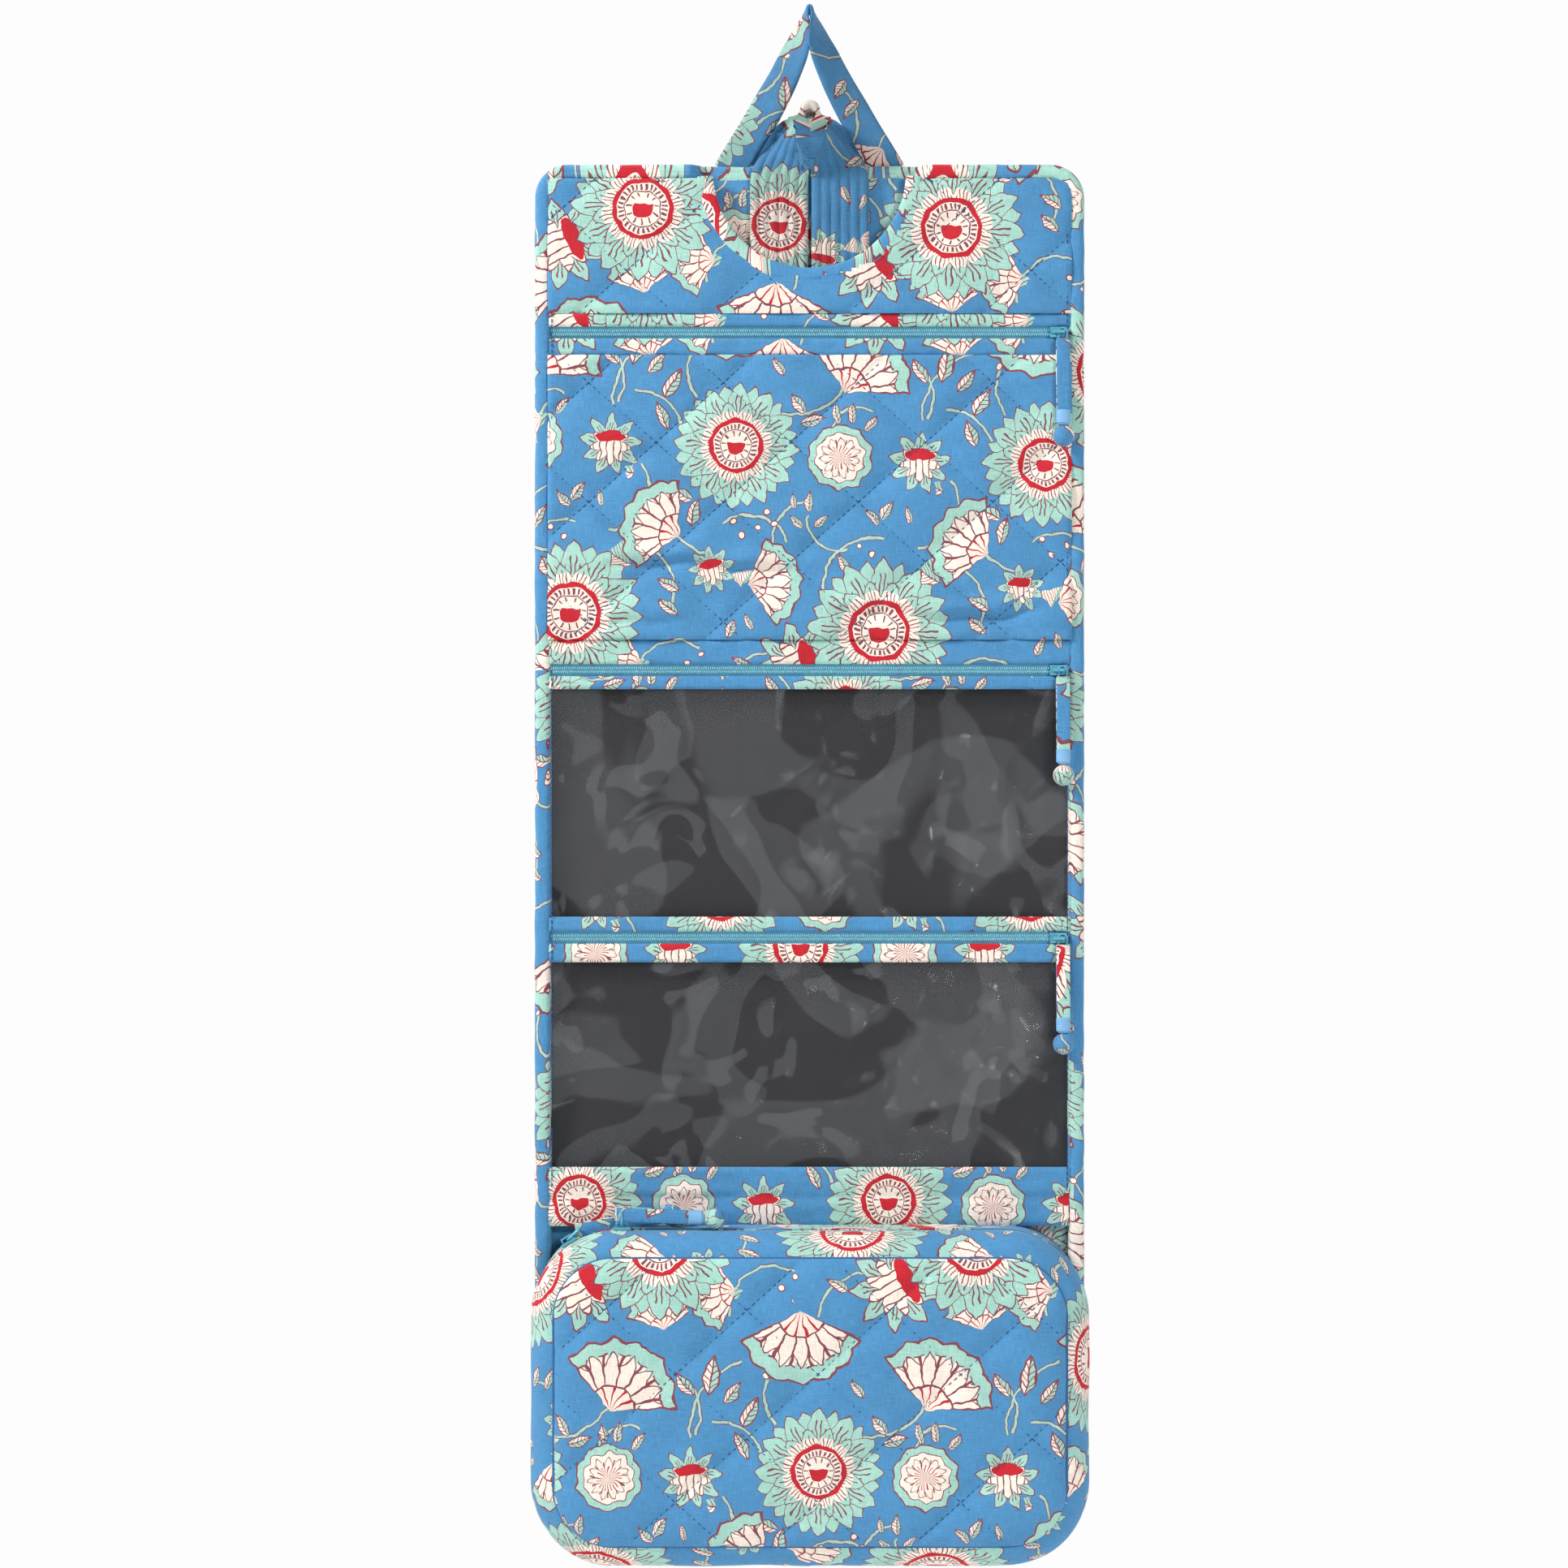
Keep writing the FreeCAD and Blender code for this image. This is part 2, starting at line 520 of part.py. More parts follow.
def pouch_zip_hardware(sheet):
    """The pouch's two sliders: one on the straight top, one part way round the left corner."""
    coil_face = sheet.PouchTop - 0.1
    roof = "(GussetThickness + TapeThickness + 0.5)"
    foot = "(GussetThickness + TapeThickness + 0.5 + SliderPlate / 2)"
    lug = sheet.SliderClearance + sheet.SliderPlate + sheet.BailPlay
    top = FreeCAD.Vector(sheet.PouchSliderRest, sheet.GussetZip, coil_face)
    slider("slider_4", FreeCAD.Placement(top, FreeCAD.Rotation()), roof, foot)
    turn = math.radians(sheet.CornerSliderTurn)
    corner = FreeCAD.Vector(sheet.PouchCorner - sheet.HalfWidth, sheet.GussetZip, sheet.PouchTop - sheet.PouchCorner)
    out = FreeCAD.Vector(-math.sin(turn), 0, math.cos(turn))
    radius = sheet.PouchCorner - 0.1
    slider("slider_5", FreeCAD.Placement(corner + out * radius, FreeCAD.Rotation(FreeCAD.Vector(0, 1, 0),
                                                                                -sheet.CornerSliderTurn)), roof, foot)
    # the ring's own frame is turned so that its length rises out of the lug
    upright = FreeCAD.Rotation(FreeCAD.Vector(0, 0, 1), 90)
    along = sheet.BailLength + sheet.BailRadius
    bead_height = sheet.PouchTop + sheet.BeadRadius + 0.25
    pivots = {4: top + FreeCAD.Vector(0, 0, lug), 5: corner + out * (radius + lug)}
    leans = {4: 0.0, 5: 47.0}
    for number, pivot in pivots.items():
        tilt = FreeCAD.Rotation(FreeCAD.Vector(0, 1, 0), leans[number])
        ring_place = FreeCAD.Placement(pivot + tilt.multVec(FreeCAD.Vector(0, 0, along)), tilt.multiply(upright))
        if number == 4:
            start = FreeCAD.Vector(pivot.x - 2.5, pivot.y, pivot.z + 6)
            end = FreeCAD.Vector(start.x + sheet.PullLength - 9, pivot.y, bead_height)
        else:
            start = pivot + tilt.multVec(FreeCAD.Vector(0, 0, along)) + FreeCAD.Vector(0, 4, 0)
            end = FreeCAD.Vector(start.x + 49, sheet.FrontFoldFace - sheet.BeadRadius - 0.15, bead_height)
        line = end - start
        flat = FreeCAD.Vector(0, 1, 0)
        normal = flat.cross(line).normalize()
        flat = line.cross(normal).normalize()
        rotation = FreeCAD.Rotation(flat, normal, line * -1, "ZXY")
        pull(sheet, number, ring_place, FreeCAD.Placement(start, rotation), line.Length)


def write_parts():
    doc.recompute()
    failed = [o.Label for o in doc.Objects if "Invalid" in o.State or "Error" in o.State]
    if failed:
        raise RuntimeError(f"these objects failed: {failed}")
    os.makedirs("parts", exist_ok=True)
    for piece in pieces:
        if piece.Shape.isNull() or not piece.Shape.isValid():
            raise RuntimeError(f"{piece.Label} has no valid shape")
        piece.Shape.exportStep(f"parts/{piece.Label}.step")
        print(piece.Label, len(piece.Shape.Solids), round(piece.Shape.Volume, 1))
    print(len(pieces), "pieces")


sheet = make_sheet()
hanging_loop(sheet)
carry_handle(sheet)
top_section()
middle_section()
spine_section()
pouch_section()
straight_zip_hardware(sheet)
pouch_zip_hardware(sheet)
write_parts()
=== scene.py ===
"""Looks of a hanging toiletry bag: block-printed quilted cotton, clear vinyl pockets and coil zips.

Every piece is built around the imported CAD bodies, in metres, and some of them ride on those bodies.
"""

import logging
import math
from dataclasses import dataclass
from enum import Enum
from typing import Callable

import bmesh
import bpy
from mathutils import Matrix, Vector, noise

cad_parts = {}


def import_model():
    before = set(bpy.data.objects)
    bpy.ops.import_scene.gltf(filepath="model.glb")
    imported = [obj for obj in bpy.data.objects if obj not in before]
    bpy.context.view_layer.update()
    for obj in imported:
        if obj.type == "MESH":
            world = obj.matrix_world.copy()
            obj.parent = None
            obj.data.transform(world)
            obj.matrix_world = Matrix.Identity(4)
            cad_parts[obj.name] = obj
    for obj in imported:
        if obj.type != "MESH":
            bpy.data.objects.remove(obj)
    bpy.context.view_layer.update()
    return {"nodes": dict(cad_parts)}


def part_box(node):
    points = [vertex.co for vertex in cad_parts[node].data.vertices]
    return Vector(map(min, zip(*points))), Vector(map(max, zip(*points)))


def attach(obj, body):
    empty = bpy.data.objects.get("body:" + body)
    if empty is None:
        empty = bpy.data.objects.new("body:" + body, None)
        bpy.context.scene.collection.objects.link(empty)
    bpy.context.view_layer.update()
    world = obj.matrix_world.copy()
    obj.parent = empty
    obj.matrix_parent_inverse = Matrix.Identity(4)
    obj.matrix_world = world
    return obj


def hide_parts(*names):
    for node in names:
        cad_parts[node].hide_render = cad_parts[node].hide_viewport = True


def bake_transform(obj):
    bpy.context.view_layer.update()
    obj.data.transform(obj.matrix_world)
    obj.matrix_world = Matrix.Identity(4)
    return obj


LOG = logging.getLogger("toiletry_bag")
Place = Callable[[float, float], Vector]
Relief = Callable[[float, float], float]


class Body(str, Enum):
    """The CAD bodies that soft pieces ride on."""

    LOOP = "hanging_loop"
    HANDLE = "carry_handle"
    TOP = "top_section"
    MIDDLE = "middle_section"
    SPINE = "spine_section"
    POUCH = "pouch_section"


@dataclass(frozen=True)
class Layers:
    """Heights and depths that the soft pieces share, in metres.

    Each z is a height below the hook and each y a depth in front of the back face.
    """

    half_width: float = 0.145
    half_inside: float = 0.137
    top_edge: float = -0.085
    top_fold_end: float = -0.352
    lower_fold_end: float = -0.5945
    pouch_fold_end: float = -0.640
    back: float = -0.001
    inner_face: float = -0.0052
    panel_face: float = -0.0125
    binding_face: float = -0.0130
    corner: float = 0.018
    cutout_centre: float = -0.089
    cutout_radius: float = 0.051


L = Layers()


def levels(start: float, end: float) -> tuple[Vector, Vector]:
    """Returns the two heights between which cloth turns from one body to the next."""
    return Vector((0, 0, start)), Vector((0, 0, end))


MIDDLE_BEND = levels(-0.338, -0.348)
SPINE_BEND = levels(-0.581, -0.591)
POUCH_BEND = levels(-0.627, -0.637)
LOOP_BEND = levels(-0.0745, -0.0860)
HANDLE_BEND = levels(-0.1275, -0.1200)
ALONG = 0.002
STITCH_PROUD = 0.0001
QUILT_PITCH = 0.0036
EDGE_PITCH = 0.0032
PULL_RUN = 0.051


# ---------------------------------------------------------------- finishes


class Dye(Enum):
    """The print's few dyes, as linear colours."""

    GROUND = (0.0700, 0.2620, 0.5050)
    MINT = (0.3600, 0.6350, 0.5500)
    CREAM = (0.8900, 0.7850, 0.6900)
    OUTLINE = (0.2350, 0.0560, 0.0780)
    RED = (0.5300, 0.0120, 0.0250)


class Sketch:
    """A node tree being drawn: each method adds one node and gives back its output."""

    def __init__(self, tree: bpy.types.NodeTree) -> None:
        """Keeps the tree that the nodes go into."""
        self.tree = tree

    def node(self, kind: str, inputs: dict | None = None, **settings: object) -> bpy.types.Node:
        """Adds a node.

        Args:
            kind: the node's type name.
            inputs: values or sockets for its inputs, by name or number.
            settings: properties set on the node itself.

        Returns:
            The new node.
        """
        made = self.tree.nodes.new(kind)
        for name, value in settings.items():
            setattr(made, name, value)
        for key, value in (inputs or {}).items():
            if isinstance(value, bpy.types.NodeSocket):
                self.tree.links.new(value, made.inputs[key])
            else:
                made.inputs[key].default_value = value
        return made

    def math(self, operation: str, a: object, b: object = 0.0, c: object = 0.0) -> bpy.types.NodeSocket:
        """Adds one sum of one to three numbers and returns its result."""
        return self.node("ShaderNodeMath", {0: a, 1: b, 2: c}, operation=operation).outputs[0]

    def vector(self, operation: str, a: object, b: object = (0, 0, 0),
               c: object = (0, 0, 0)) -> bpy.types.NodeSocket:
        """Adds one sum of vectors and returns its vector."""
        return self.node("ShaderNodeVectorMath", {0: a, 1: b, 2: c}, operation=operation).outputs[0]

    def length(self, a: object) -> bpy.types.NodeSocket:
        """Returns a vector's length."""
        return self.node("ShaderNodeVectorMath", {0: a}, operation="LENGTH").outputs["Value"]

    def split(self, a: object) -> tuple[bpy.types.NodeSocket, bpy.types.NodeSocket]:
        """Returns a vector's x and y."""
        parts = self.node("ShaderNodeSeparateXYZ", {0: a})
        return parts.outputs[0], parts.outputs[1]

    def all_of(self, *masks: bpy.types.NodeSocket) -> bpy.types.NodeSocket:
        """Returns the part that every mask shares."""
        result = masks[0]
        for mask in masks[1:]:
            result = self.math("MULTIPLY", result, mask)
        return result

    def either(self, *masks: bpy.types.NodeSocket) -> bpy.types.NodeSocket:
        """Returns the part that any mask has."""
        result = masks[0]
        for mask in masks[1:]:
            result = self.math("MAXIMUM", result, mask)
        return result

    def below(self, a: object, b: object) -> bpy.types.NodeSocket:
        """Returns a mask of where a is less than b."""
        return self.math("LESS_THAN", a, b)

    def above(self, a: object, b: object) -> bpy.types.NodeSocket:
        """Returns a mask of where a is more than b."""
        return self.math("GREATER_THAN", a, b)

    def paint(self, under: object, mask: object, over: object) -> bpy.types.NodeSocket:
        """Lays one colour over another.

        Args:
            under: the colour so far.
            mask: how much the new colour covers.
            over: the new colour, a dye or a socket.

        Returns:
            The colour after it.
        """
        if isinstance(under, Dye):
            under = (*under.value, 1)
        if isinstance(over, Dye):
            over = (*over.value, 1)
        mixed = self.node("ShaderNodeMix", {0: mask, 6: under, 7: over}, data_type="RGBA")
        return mixed.outputs[2]


@dataclass(frozen=True)
class Stamp:
    """One carved block's place in the repeat, its turn in degrees and its radius, in mm."""

    x: float
    y: float
    turn: float
    size: float


@dataclass(frozen=True)
class Vine:
    """One stem, an arc about a centre in mm from one angle to another, in degrees."""

    x: float
    y: float
    radius: float
    start: float
    end: float


@dataclass(frozen=True)
class BlockPrint:
    """The floral print, drawn once over a repeat that tiles the cloth."""

    repeat: tuple[float, float] = (163.0, 210.0)
    suns: tuple[Stamp, ...] = (Stamp(0, 0, 0, 34), Stamp(-82, -93, 0, 39))
    fans: tuple[Stamp, ...] = (
        Stamp(-9, 65, 180, 25), Stamp(63, 48, -25, 25), Stamp(-41, -43, 68, 21),
        Stamp(24, -70, -80, 19), Stamp(82, 84, 10, 15), Stamp(-54, 92, 95, 16),
    )
    rounds: tuple[Stamp, ...] = (Stamp(55, -3, 0, 18),)
    lotuses: tuple[Stamp, ...] = (Stamp(-66, -3, 0, 17), Stamp(40, 96, -62, 25), Stamp(-9, -66, 12, 13))
    leaves: tuple[Stamp, ...] = (
        Stamp(-69, 45, 35, 8), Stamp(-55, 50, -8, 11), Stamp(-44, 41, -38, 8), Stamp(-35, 31, -28, 9),
        Stamp(-40, 14, 25, 8), Stamp(-28, -27, 70, 8), Stamp(-20, -36, -12, 8), Stamp(32, -27, 10, 5),
        Stamp(40, -27, -4, 6), Stamp(47, -37, -50, 5), Stamp(34, -38, 55, 5), Stamp(52, 20, 12, 6),
        Stamp(60, 21, -6, 6), Stamp(70, 16, -35, 6), Stamp(31, 24, 35, 7), Stamp(40, 16, -75, 7),
        Stamp(20, 43, 30, 6), Stamp(74, -33, 40, 6), Stamp(81, -29, -30, 7), Stamp(-31, -75, 65, 7),
        Stamp(-31, -87, 55, 7), Stamp(-70, -31, 10, 5), Stamp(3, -96, -20, 6), Stamp(12, -92, 25, 5),
        Stamp(62, -82, -60, 7), Stamp(60, -58, 30, 6), Stamp(-26, 72, -40, 6), Stamp(10, 96, 60, 7),
    )
    berries: tuple[Stamp, ...] = (
        Stamp(1, -40, 0, 1.7), Stamp(6, -47, 0, 1.9), Stamp(14, -42, 0, 1.6), Stamp(18, -34, 0, 1.9),
        Stamp(23, -40, 0, 1.7), Stamp(-27, 50, 0, 1.5), Stamp(-32, 57, 0, 1.7), Stamp(-24, 60, 0, 1.5),
        Stamp(68, -49, 0, 1.6), Stamp(75, -53, 0, 1.8), Stamp(-12, 100, 0, 1.6), Stamp(-19, 95, 0, 1.8),
    )
    vines: tuple[Vine, ...] = (
        Vine(-30, 22, 36, 105, 185), Vine(-85, 30, 24, -25, 55), Vine(-52, 2, 24, 20, 95),
        Vine(28, 48, 30, -120, -10), Vine(-8, -30, 28, -160, -90), Vine(10, -58, 22, 25, 130),
        Vine(44, -48, 22, 95, 200), Vine(56, -36, 16, 175, 290), Vine(-66, -26, 22, -85, 40),
        Vine(-50, -78, 22, -30, 70), Vine(24, 78, 24, 60, 175), Vine(64, 10, 14, 60, 190),
        Vine(76, -70, 26, 80, 190), Vine(-24, 84, 22, 60, 190), Vine(-4, 40, 24, 120, 220),
    )

    def petal_wave(self, s: Sketch, angle: object, count: int) -> bpy.types.NodeSocket:
        """Returns 0 at the middle of each of count petals and 1 between them."""
        half = math.pi / count
        return s.math("DIVIDE", s.math("PINGPONG", angle, half), half)

    def pointed(self, s: Sketch, wave: object, tip: float, slope: float,
                belly: float) -> bpy.types.NodeSocket:
        """Returns the radius of a ring of pointed petals at a petal wave."""
        rounded = s.math("MULTIPLY", s.math("MULTIPLY", wave, wave), belly)
        return s.math("SUBTRACT", s.math("SUBTRACT", tip, s.math("MULTIPLY", wave, slope)), rounded)

    def local(self, s: Sketch, place: object, stamp: Stamp) -> bpy.types.NodeSocket:
        """Returns the place as seen from one stamp, wrapped over the repeat and scaled to its radius."""
        wide, tall = self.repeat
        moved = s.vector("SUBTRACT", place, (stamp.x, stamp.y, 0))
        wrapped = s.vector("WRAP", moved, (wide / 2, tall / 2, 1), (-wide / 2, -tall / 2, -1))
        if stamp.turn:
            wrapped = s.node(
                "ShaderNodeVectorRotate", {"Vector": wrapped, "Angle": -math.radians(stamp.turn)},
                rotation_type="Z_AXIS").outputs[0]
        size = stamp.size
        return s.vector("DIVIDE", wrapped, (size, size, size))

    def nearest(self, s: Sketch, place: object, stamps: tuple[Stamp, ...]) -> bpy.types.NodeSocket:
        """Returns the local place on whichever stamp is nearest."""
        best = self.local(s, place, stamps[0])
        best_reach = s.length(best)
        for stamp in stamps[1:]:
            other = self.local(s, place, stamp)
            reach = s.length(other)
            closer = s.below(reach, best_reach)
            best = s.node("ShaderNodeMix", {0: closer, 4: best, 5: other}, data_type="VECTOR").outputs[1]
            best_reach = s.math("MINIMUM", best_reach, reach)
        return best

    def polar(self, s: Sketch, place: object) -> tuple[bpy.types.NodeSocket, bpy.types.NodeSocket]:
        """Returns the distance from the middle and the angle from straight up."""
        x, y = s.split(place)
        return s.length(place), s.math("ARCTAN2", x, y)

    def draw_suns(self, s: Sketch, colour: object, place: object) -> bpy.types.NodeSocket:
        """Draws the large many-petalled flowers with a red ring and returns the colour after them."""
        local = self.nearest(s, place, self.suns)
        _, y = s.split(local)
        reach, angle = self.polar(s, local)
        wave = self.petal_wave(s, angle, 12)
        outer = self.pointed(s, wave, 1.0, 0.20, 0.14)
        back_wave = s.math("SUBTRACT", 1.0, wave)
        back = self.pointed(s, back_wave, 0.97, 0.20, 0.14)
        edge = s.math("MAXIMUM", outer, back)
        colour = s.paint(colour, s.below(reach, edge), Dye.OUTLINE)
        colour = s.paint(colour, s.below(reach, s.math("SUBTRACT", back, 0.022)), Dye.MINT)
        colour = s.paint(colour, s.below(reach, outer), Dye.OUTLINE)
        colour = s.paint(colour, s.below(reach, s.math("SUBTRACT", outer, 0.024)), Dye.MINT)
        fine = self.petal_wave(s, angle, 60)
        veins = s.all_of(s.above(fine, 0.70), s.below(reach, s.math("SUBTRACT", outer, 0.17)))
        colour = s.paint(colour, veins, Dye.OUTLINE)
        inner = self.pointed(s, back_wave, 0.70, 0.13, 0.10)
        colour = s.paint(colour, s.below(reach, inner), Dye.OUTLINE)
        colour = s.paint(colour, s.below(reach, s.math("SUBTRACT", inner, 0.02)), Dye.CREAM)
        tips = s.all_of(s.below(reach, s.math("SUBTRACT", inner, 0.02)), s.above(reach, 0.55))
        colour = s.paint(colour, tips, Dye.MINT)
        inner_veins = s.all_of(s.above(fine, 0.72), s.below(reach, s.math("SUBTRACT", inner, 0.09)))
        colour = s.paint(colour, inner_veins, Dye.OUTLINE)
        colour = s.paint(colour, s.below(reach, 0.415), Dye.RED)
        colour = s.paint(colour, s.below(reach, 0.350), Dye.CREAM)
        ticks = s.all_of(s.above(self.petal_wave(s, angle, 30), 0.55), s.above(reach, 0.26),
                         s.below(reach, 0.335))
        colour = s.paint(colour, ticks, Dye.OUTLINE)
        colour = s.paint(colour, s.all_of(s.above(reach, 0.235), s.below(reach, 0.252)), Dye.OUTLINE)
        heart = s.all_of(s.below(reach, 0.14), s.below(y, 0.05))
        colour = s.paint(colour, heart, Dye.RED)
        seeds = s.all_of(s.above(self.petal_wave(s, angle, 11), 0.8), s.above(reach, 0.15),
                         s.below(reach, 0.22))
        return s.paint(colour, seeds, Dye.OUTLINE)

    def draw_fans(self, s: Sketch, colour: object, place: object) -> bpy.types.NodeSocket:
        """Draws the scalloped fans that open upwards from a point and returns the colour after them."""
        local = self.nearest(s, place, self.fans)
        from_point = s.vector("ADD", local, (0, 0.72, 0))
        reach, angle = self.polar(s, from_point)
        spread = s.math("ABSOLUTE", angle)
        scallop = s.math("MULTIPLY", self.petal_wave(s, angle, 17), 0.085)
        rim = s.math("SUBTRACT", 1.56, s.math("MULTIPLY", scallop, 1.2))
        rim = s.math("SUBTRACT", rim, s.math("MULTIPLY", s.math("MULTIPLY", spread, spread), 0.13))
        inside = s.all_of(s.below(reach, rim), s.below(spread, 1.12))
        colour = s.paint(colour, inside, Dye.OUTLINE)
        field = s.all_of(s.below(reach, s.math("SUBTRACT", rim, 0.05)), s.below(spread, 1.08))
        colour = s.paint(colour, field, Dye.MINT)
        band = s.math("MULTIPLY", rim, 0.80)
        cream = s.all_of(s.below(reach, band), field)
        colour = s.paint(colour, cream, Dye.OUTLINE)
        cream = s.all_of(s.below(reach, s.math("SUBTRACT", band, 0.035)), field)
        colour = s.paint(colour, cream, Dye.CREAM)
        ribs = self.petal_wave(s, angle, 17)
        notch = s.math("SUBTRACT", 1.20, s.math("MULTIPLY", ribs, 0.34))
        line = s.all_of(cream, s.above(reach, notch), s.below(reach, s.math("ADD", notch, 0.05)))
        colour = s.paint(colour, line, Dye.OUTLINE)
        stripe = s.all_of(cream, s.above(ribs, 0.84), s.above(reach, 0.5))
        colour = s.paint(colour, stripe, Dye.OUTLINE)
        mint_tip = s.all_of(field, s.above(reach, s.math("ADD", notch, 0.05)), s.below(reach, band),
                            s.below(ribs, 0.5))
        colour = s.paint(colour, mint_tip, Dye.MINT)
        base = s.all_of(field, s.above(reach, 0.50), s.below(reach, 0.54))
        colour = s.paint(colour, base, Dye.OUTLINE)
        strokes = s.all_of(field, s.above(self.petal_wave(s, angle, 13), 0.78), s.below(reach, 0.50))
        return s.paint(colour, strokes, Dye.RED)

    def draw_rounds(self, s: Sketch, colour: object, place: object) -> bpy.types.NodeSocket:
        """Draws the round scalloped flowers and returns the colour after them."""
        local = self.nearest(s, place, self.rounds)
        reach, angle = self.polar(s, local)
        rim = s.math("SUBTRACT", 1.0, s.math("MULTIPLY", self.petal_wave(s, angle, 10), 0.09))
        colour = s.paint(colour, s.below(reach, rim), Dye.OUTLINE)
        colour = s.paint(colour, s.below(reach, s.math("SUBTRACT", rim, 0.04)), Dye.MINT)
        colour = s.paint(colour, s.below(reach, s.math("SUBTRACT", rim, 0.22)), Dye.OUTLINE)
        colour = s.paint(colour, s.below(reach, s.math("SUBTRACT", rim, 0.25)), Dye.CREAM)
        wave = self.petal_wave(s, angle, 11)
        petals = self.pointed(s, wave, 0.62, 0.10, 0.16)
        ring = s.all_of(s.below(reach, petals), s.above(reach, s.math("SUBTRACT", petals, 0.035)))
        colour = s.paint(colour, ring, Dye.OUTLINE)
        lines = s.all_of(s.above(wave, 0.86), s.below(reach, 0.52))
        colour = s.paint(colour, lines, Dye.OUTLINE)
        strokes = s.all_of(s.below(wave, 0.16), s.below(reach, 0.36))
        return s.paint(colour, strokes, Dye.RED)

    def draw_lotuses(self, s: Sketch, colour: object, place: object) -> bpy.types.NodeSocket:
        """Draws the lotus flowers seen from the side and returns the colour after them."""
        local = self.nearest(s, place, self.lotuses)
        x, y = s.split(local)
        reach, angle = self.polar(s, local)
        wave = self.petal_wave(s, angle, 9)
        outer = self.pointed(s, wave, 1.0, 0.30, 0.16)
        colour = s.paint(colour, s.below(reach, outer), Dye.OUTLINE)
        colour = s.paint(colour, s.below(reach, s.math("SUBTRACT", outer, 0.05)), Dye.MINT)
        fine = self.petal_wave(s, angle, 45)
        veins = s.all_of(s.above(fine, 0.66), s.below(reach, s.math("SUBTRACT", outer, 0.22)))
        colour = s.paint(colour, veins, Dye.OUTLINE)
        back_wave = s.math("SUBTRACT", 1.0, wave)
        inner = self.pointed(s, back_wave, 0.66, 0.12, 0.16)
        front = s.all_of(s.below(reach, inner), s.below(y, 0.42))
        colour = s.paint(colour, front, Dye.OUTLINE)
        cream = s.all_of(s.below(reach, s.math("SUBTRACT", inner, 0.045)), s.below(y, 0.38))
        colour = s.paint(colour, cream, Dye.CREAM)
        ribs = s.all_of(cream, s.above(s.math("PINGPONG", x, 0.1), 0.082), s.below(y, 0.2))
        colour = s.paint(colour, ribs, Dye.OUTLINE)
        wide = s.math("MULTIPLY", s.math("MULTIPLY", x, x), 4.2)
        raised = s.math("SUBTRACT", y, 0.24)
        tall = s.math("MULTIPLY", s.math("MULTIPLY", raised, raised), 34.0)
        oval = s.math("ADD", wide, tall)
        return s.paint(colour, s.below(oval, 1.0), Dye.RED)

    def draw_leaves(self, s: Sketch, colour: object, place: object) -> bpy.types.NodeSocket:
        """Draws the pointed leaves and buds and returns the colour after them."""
        local = self.nearest(s, place, self.leaves)
        x, y = s.split(local)
        across = s.math("ABSOLUTE", x)
        swell = s.math("SUBTRACT", 1.0, s.math("MULTIPLY", y, y))
        lean = s.math("SUBTRACT", 0.42, s.math("MULTIPLY", y, 0.13))
        half = s.math("MULTIPLY", swell, lean)
        colour = s.paint(colour, s.below(across, half), Dye.OUTLINE)
        inside = s.below(across, s.math("SUBTRACT", half, 0.085))
        colour = s.paint(colour, inside, Dye.MINT)
        colour = s.paint(colour, s.all_of(inside, s.below(x, 0.0)), Dye.CREAM)
        rib = s.math("PINGPONG", s.math("SUBTRACT", y, across), 0.16)
        veins = s.all_of(inside, s.either(s.below(rib, 0.035), s.below(across, 0.04)))
        return s.paint(colour, veins, Dye.OUTLINE)

    def draw_berries(self, s: Sketch, colour: object, place: object) -> bpy.types.NodeSocket:
        """Draws the berries and returns the colour after them."""
        reach = s.length(self.nearest(s, place, self.berries))
        colour = s.paint(colour, s.below(reach, 1.1), Dye.OUTLINE)
        return s.paint(colour, s.below(reach, 0.75), Dye.CREAM)

    def draw_vines(self, s: Sketch, colour: object, place: object) -> bpy.types.NodeSocket:
        """Draws the stems and returns the colour after them."""
        line = None
        for vine in self.vines:
            local = self.local(s, place, Stamp(vine.x, vine.y, (vine.start + vine.end) / 2 - 90, 1))
            reach, angle = self.polar(s, local)
            away = s.math("ABSOLUTE", s.math("SUBTRACT", reach, vine.radius))
            half_turn = math.radians(vine.end - vine.start) / 2
            past = s.math("SUBTRACT", s.math("ABSOLUTE", angle), half_turn)
            beyond = s.math("MULTIPLY", s.math("MAXIMUM", past, 0), 99)
            away = s.math("ADD", away, beyond)
            line = away if line is None else s.math("MINIMUM", line, away)
        colour = s.paint(colour, s.below(line, 1.05), Dye.OUTLINE)
        return s.paint(colour, s.below(line, 0.62), Dye.MINT)

    def draw(self, s: Sketch, metres: object) -> bpy.types.NodeSocket:
        """Draws the whole print.

        Args:
            s: the tree it is drawn in.
            metres: the place on the cloth, in metres.

        Returns:
            The printed colour.
        """
        place = s.vector("MULTIPLY", metres, (1000, 1000, 0))
        jitter = s.node("ShaderNodeTexNoise", {"Vector": place, "Scale": 0.16, "Detail": 1.0})
        shift = s.vector("SUBTRACT", jitter.outputs["Color"], (0.5, 0.5, 0.5))
        shift = s.vector("MULTIPLY", shift, (3.4, 3.4, 0))
        place = s.vector("ADD", place, shift)
        colour = self.draw_vines(s, (*Dye.GROUND.value, 1), place)
        for layer in (self.draw_leaves, self.draw_berries, self.draw_fans, self.draw_rounds,
                      self.draw_lotuses, self.draw_suns):
            colour = layer(s, colour, place)
        return colour

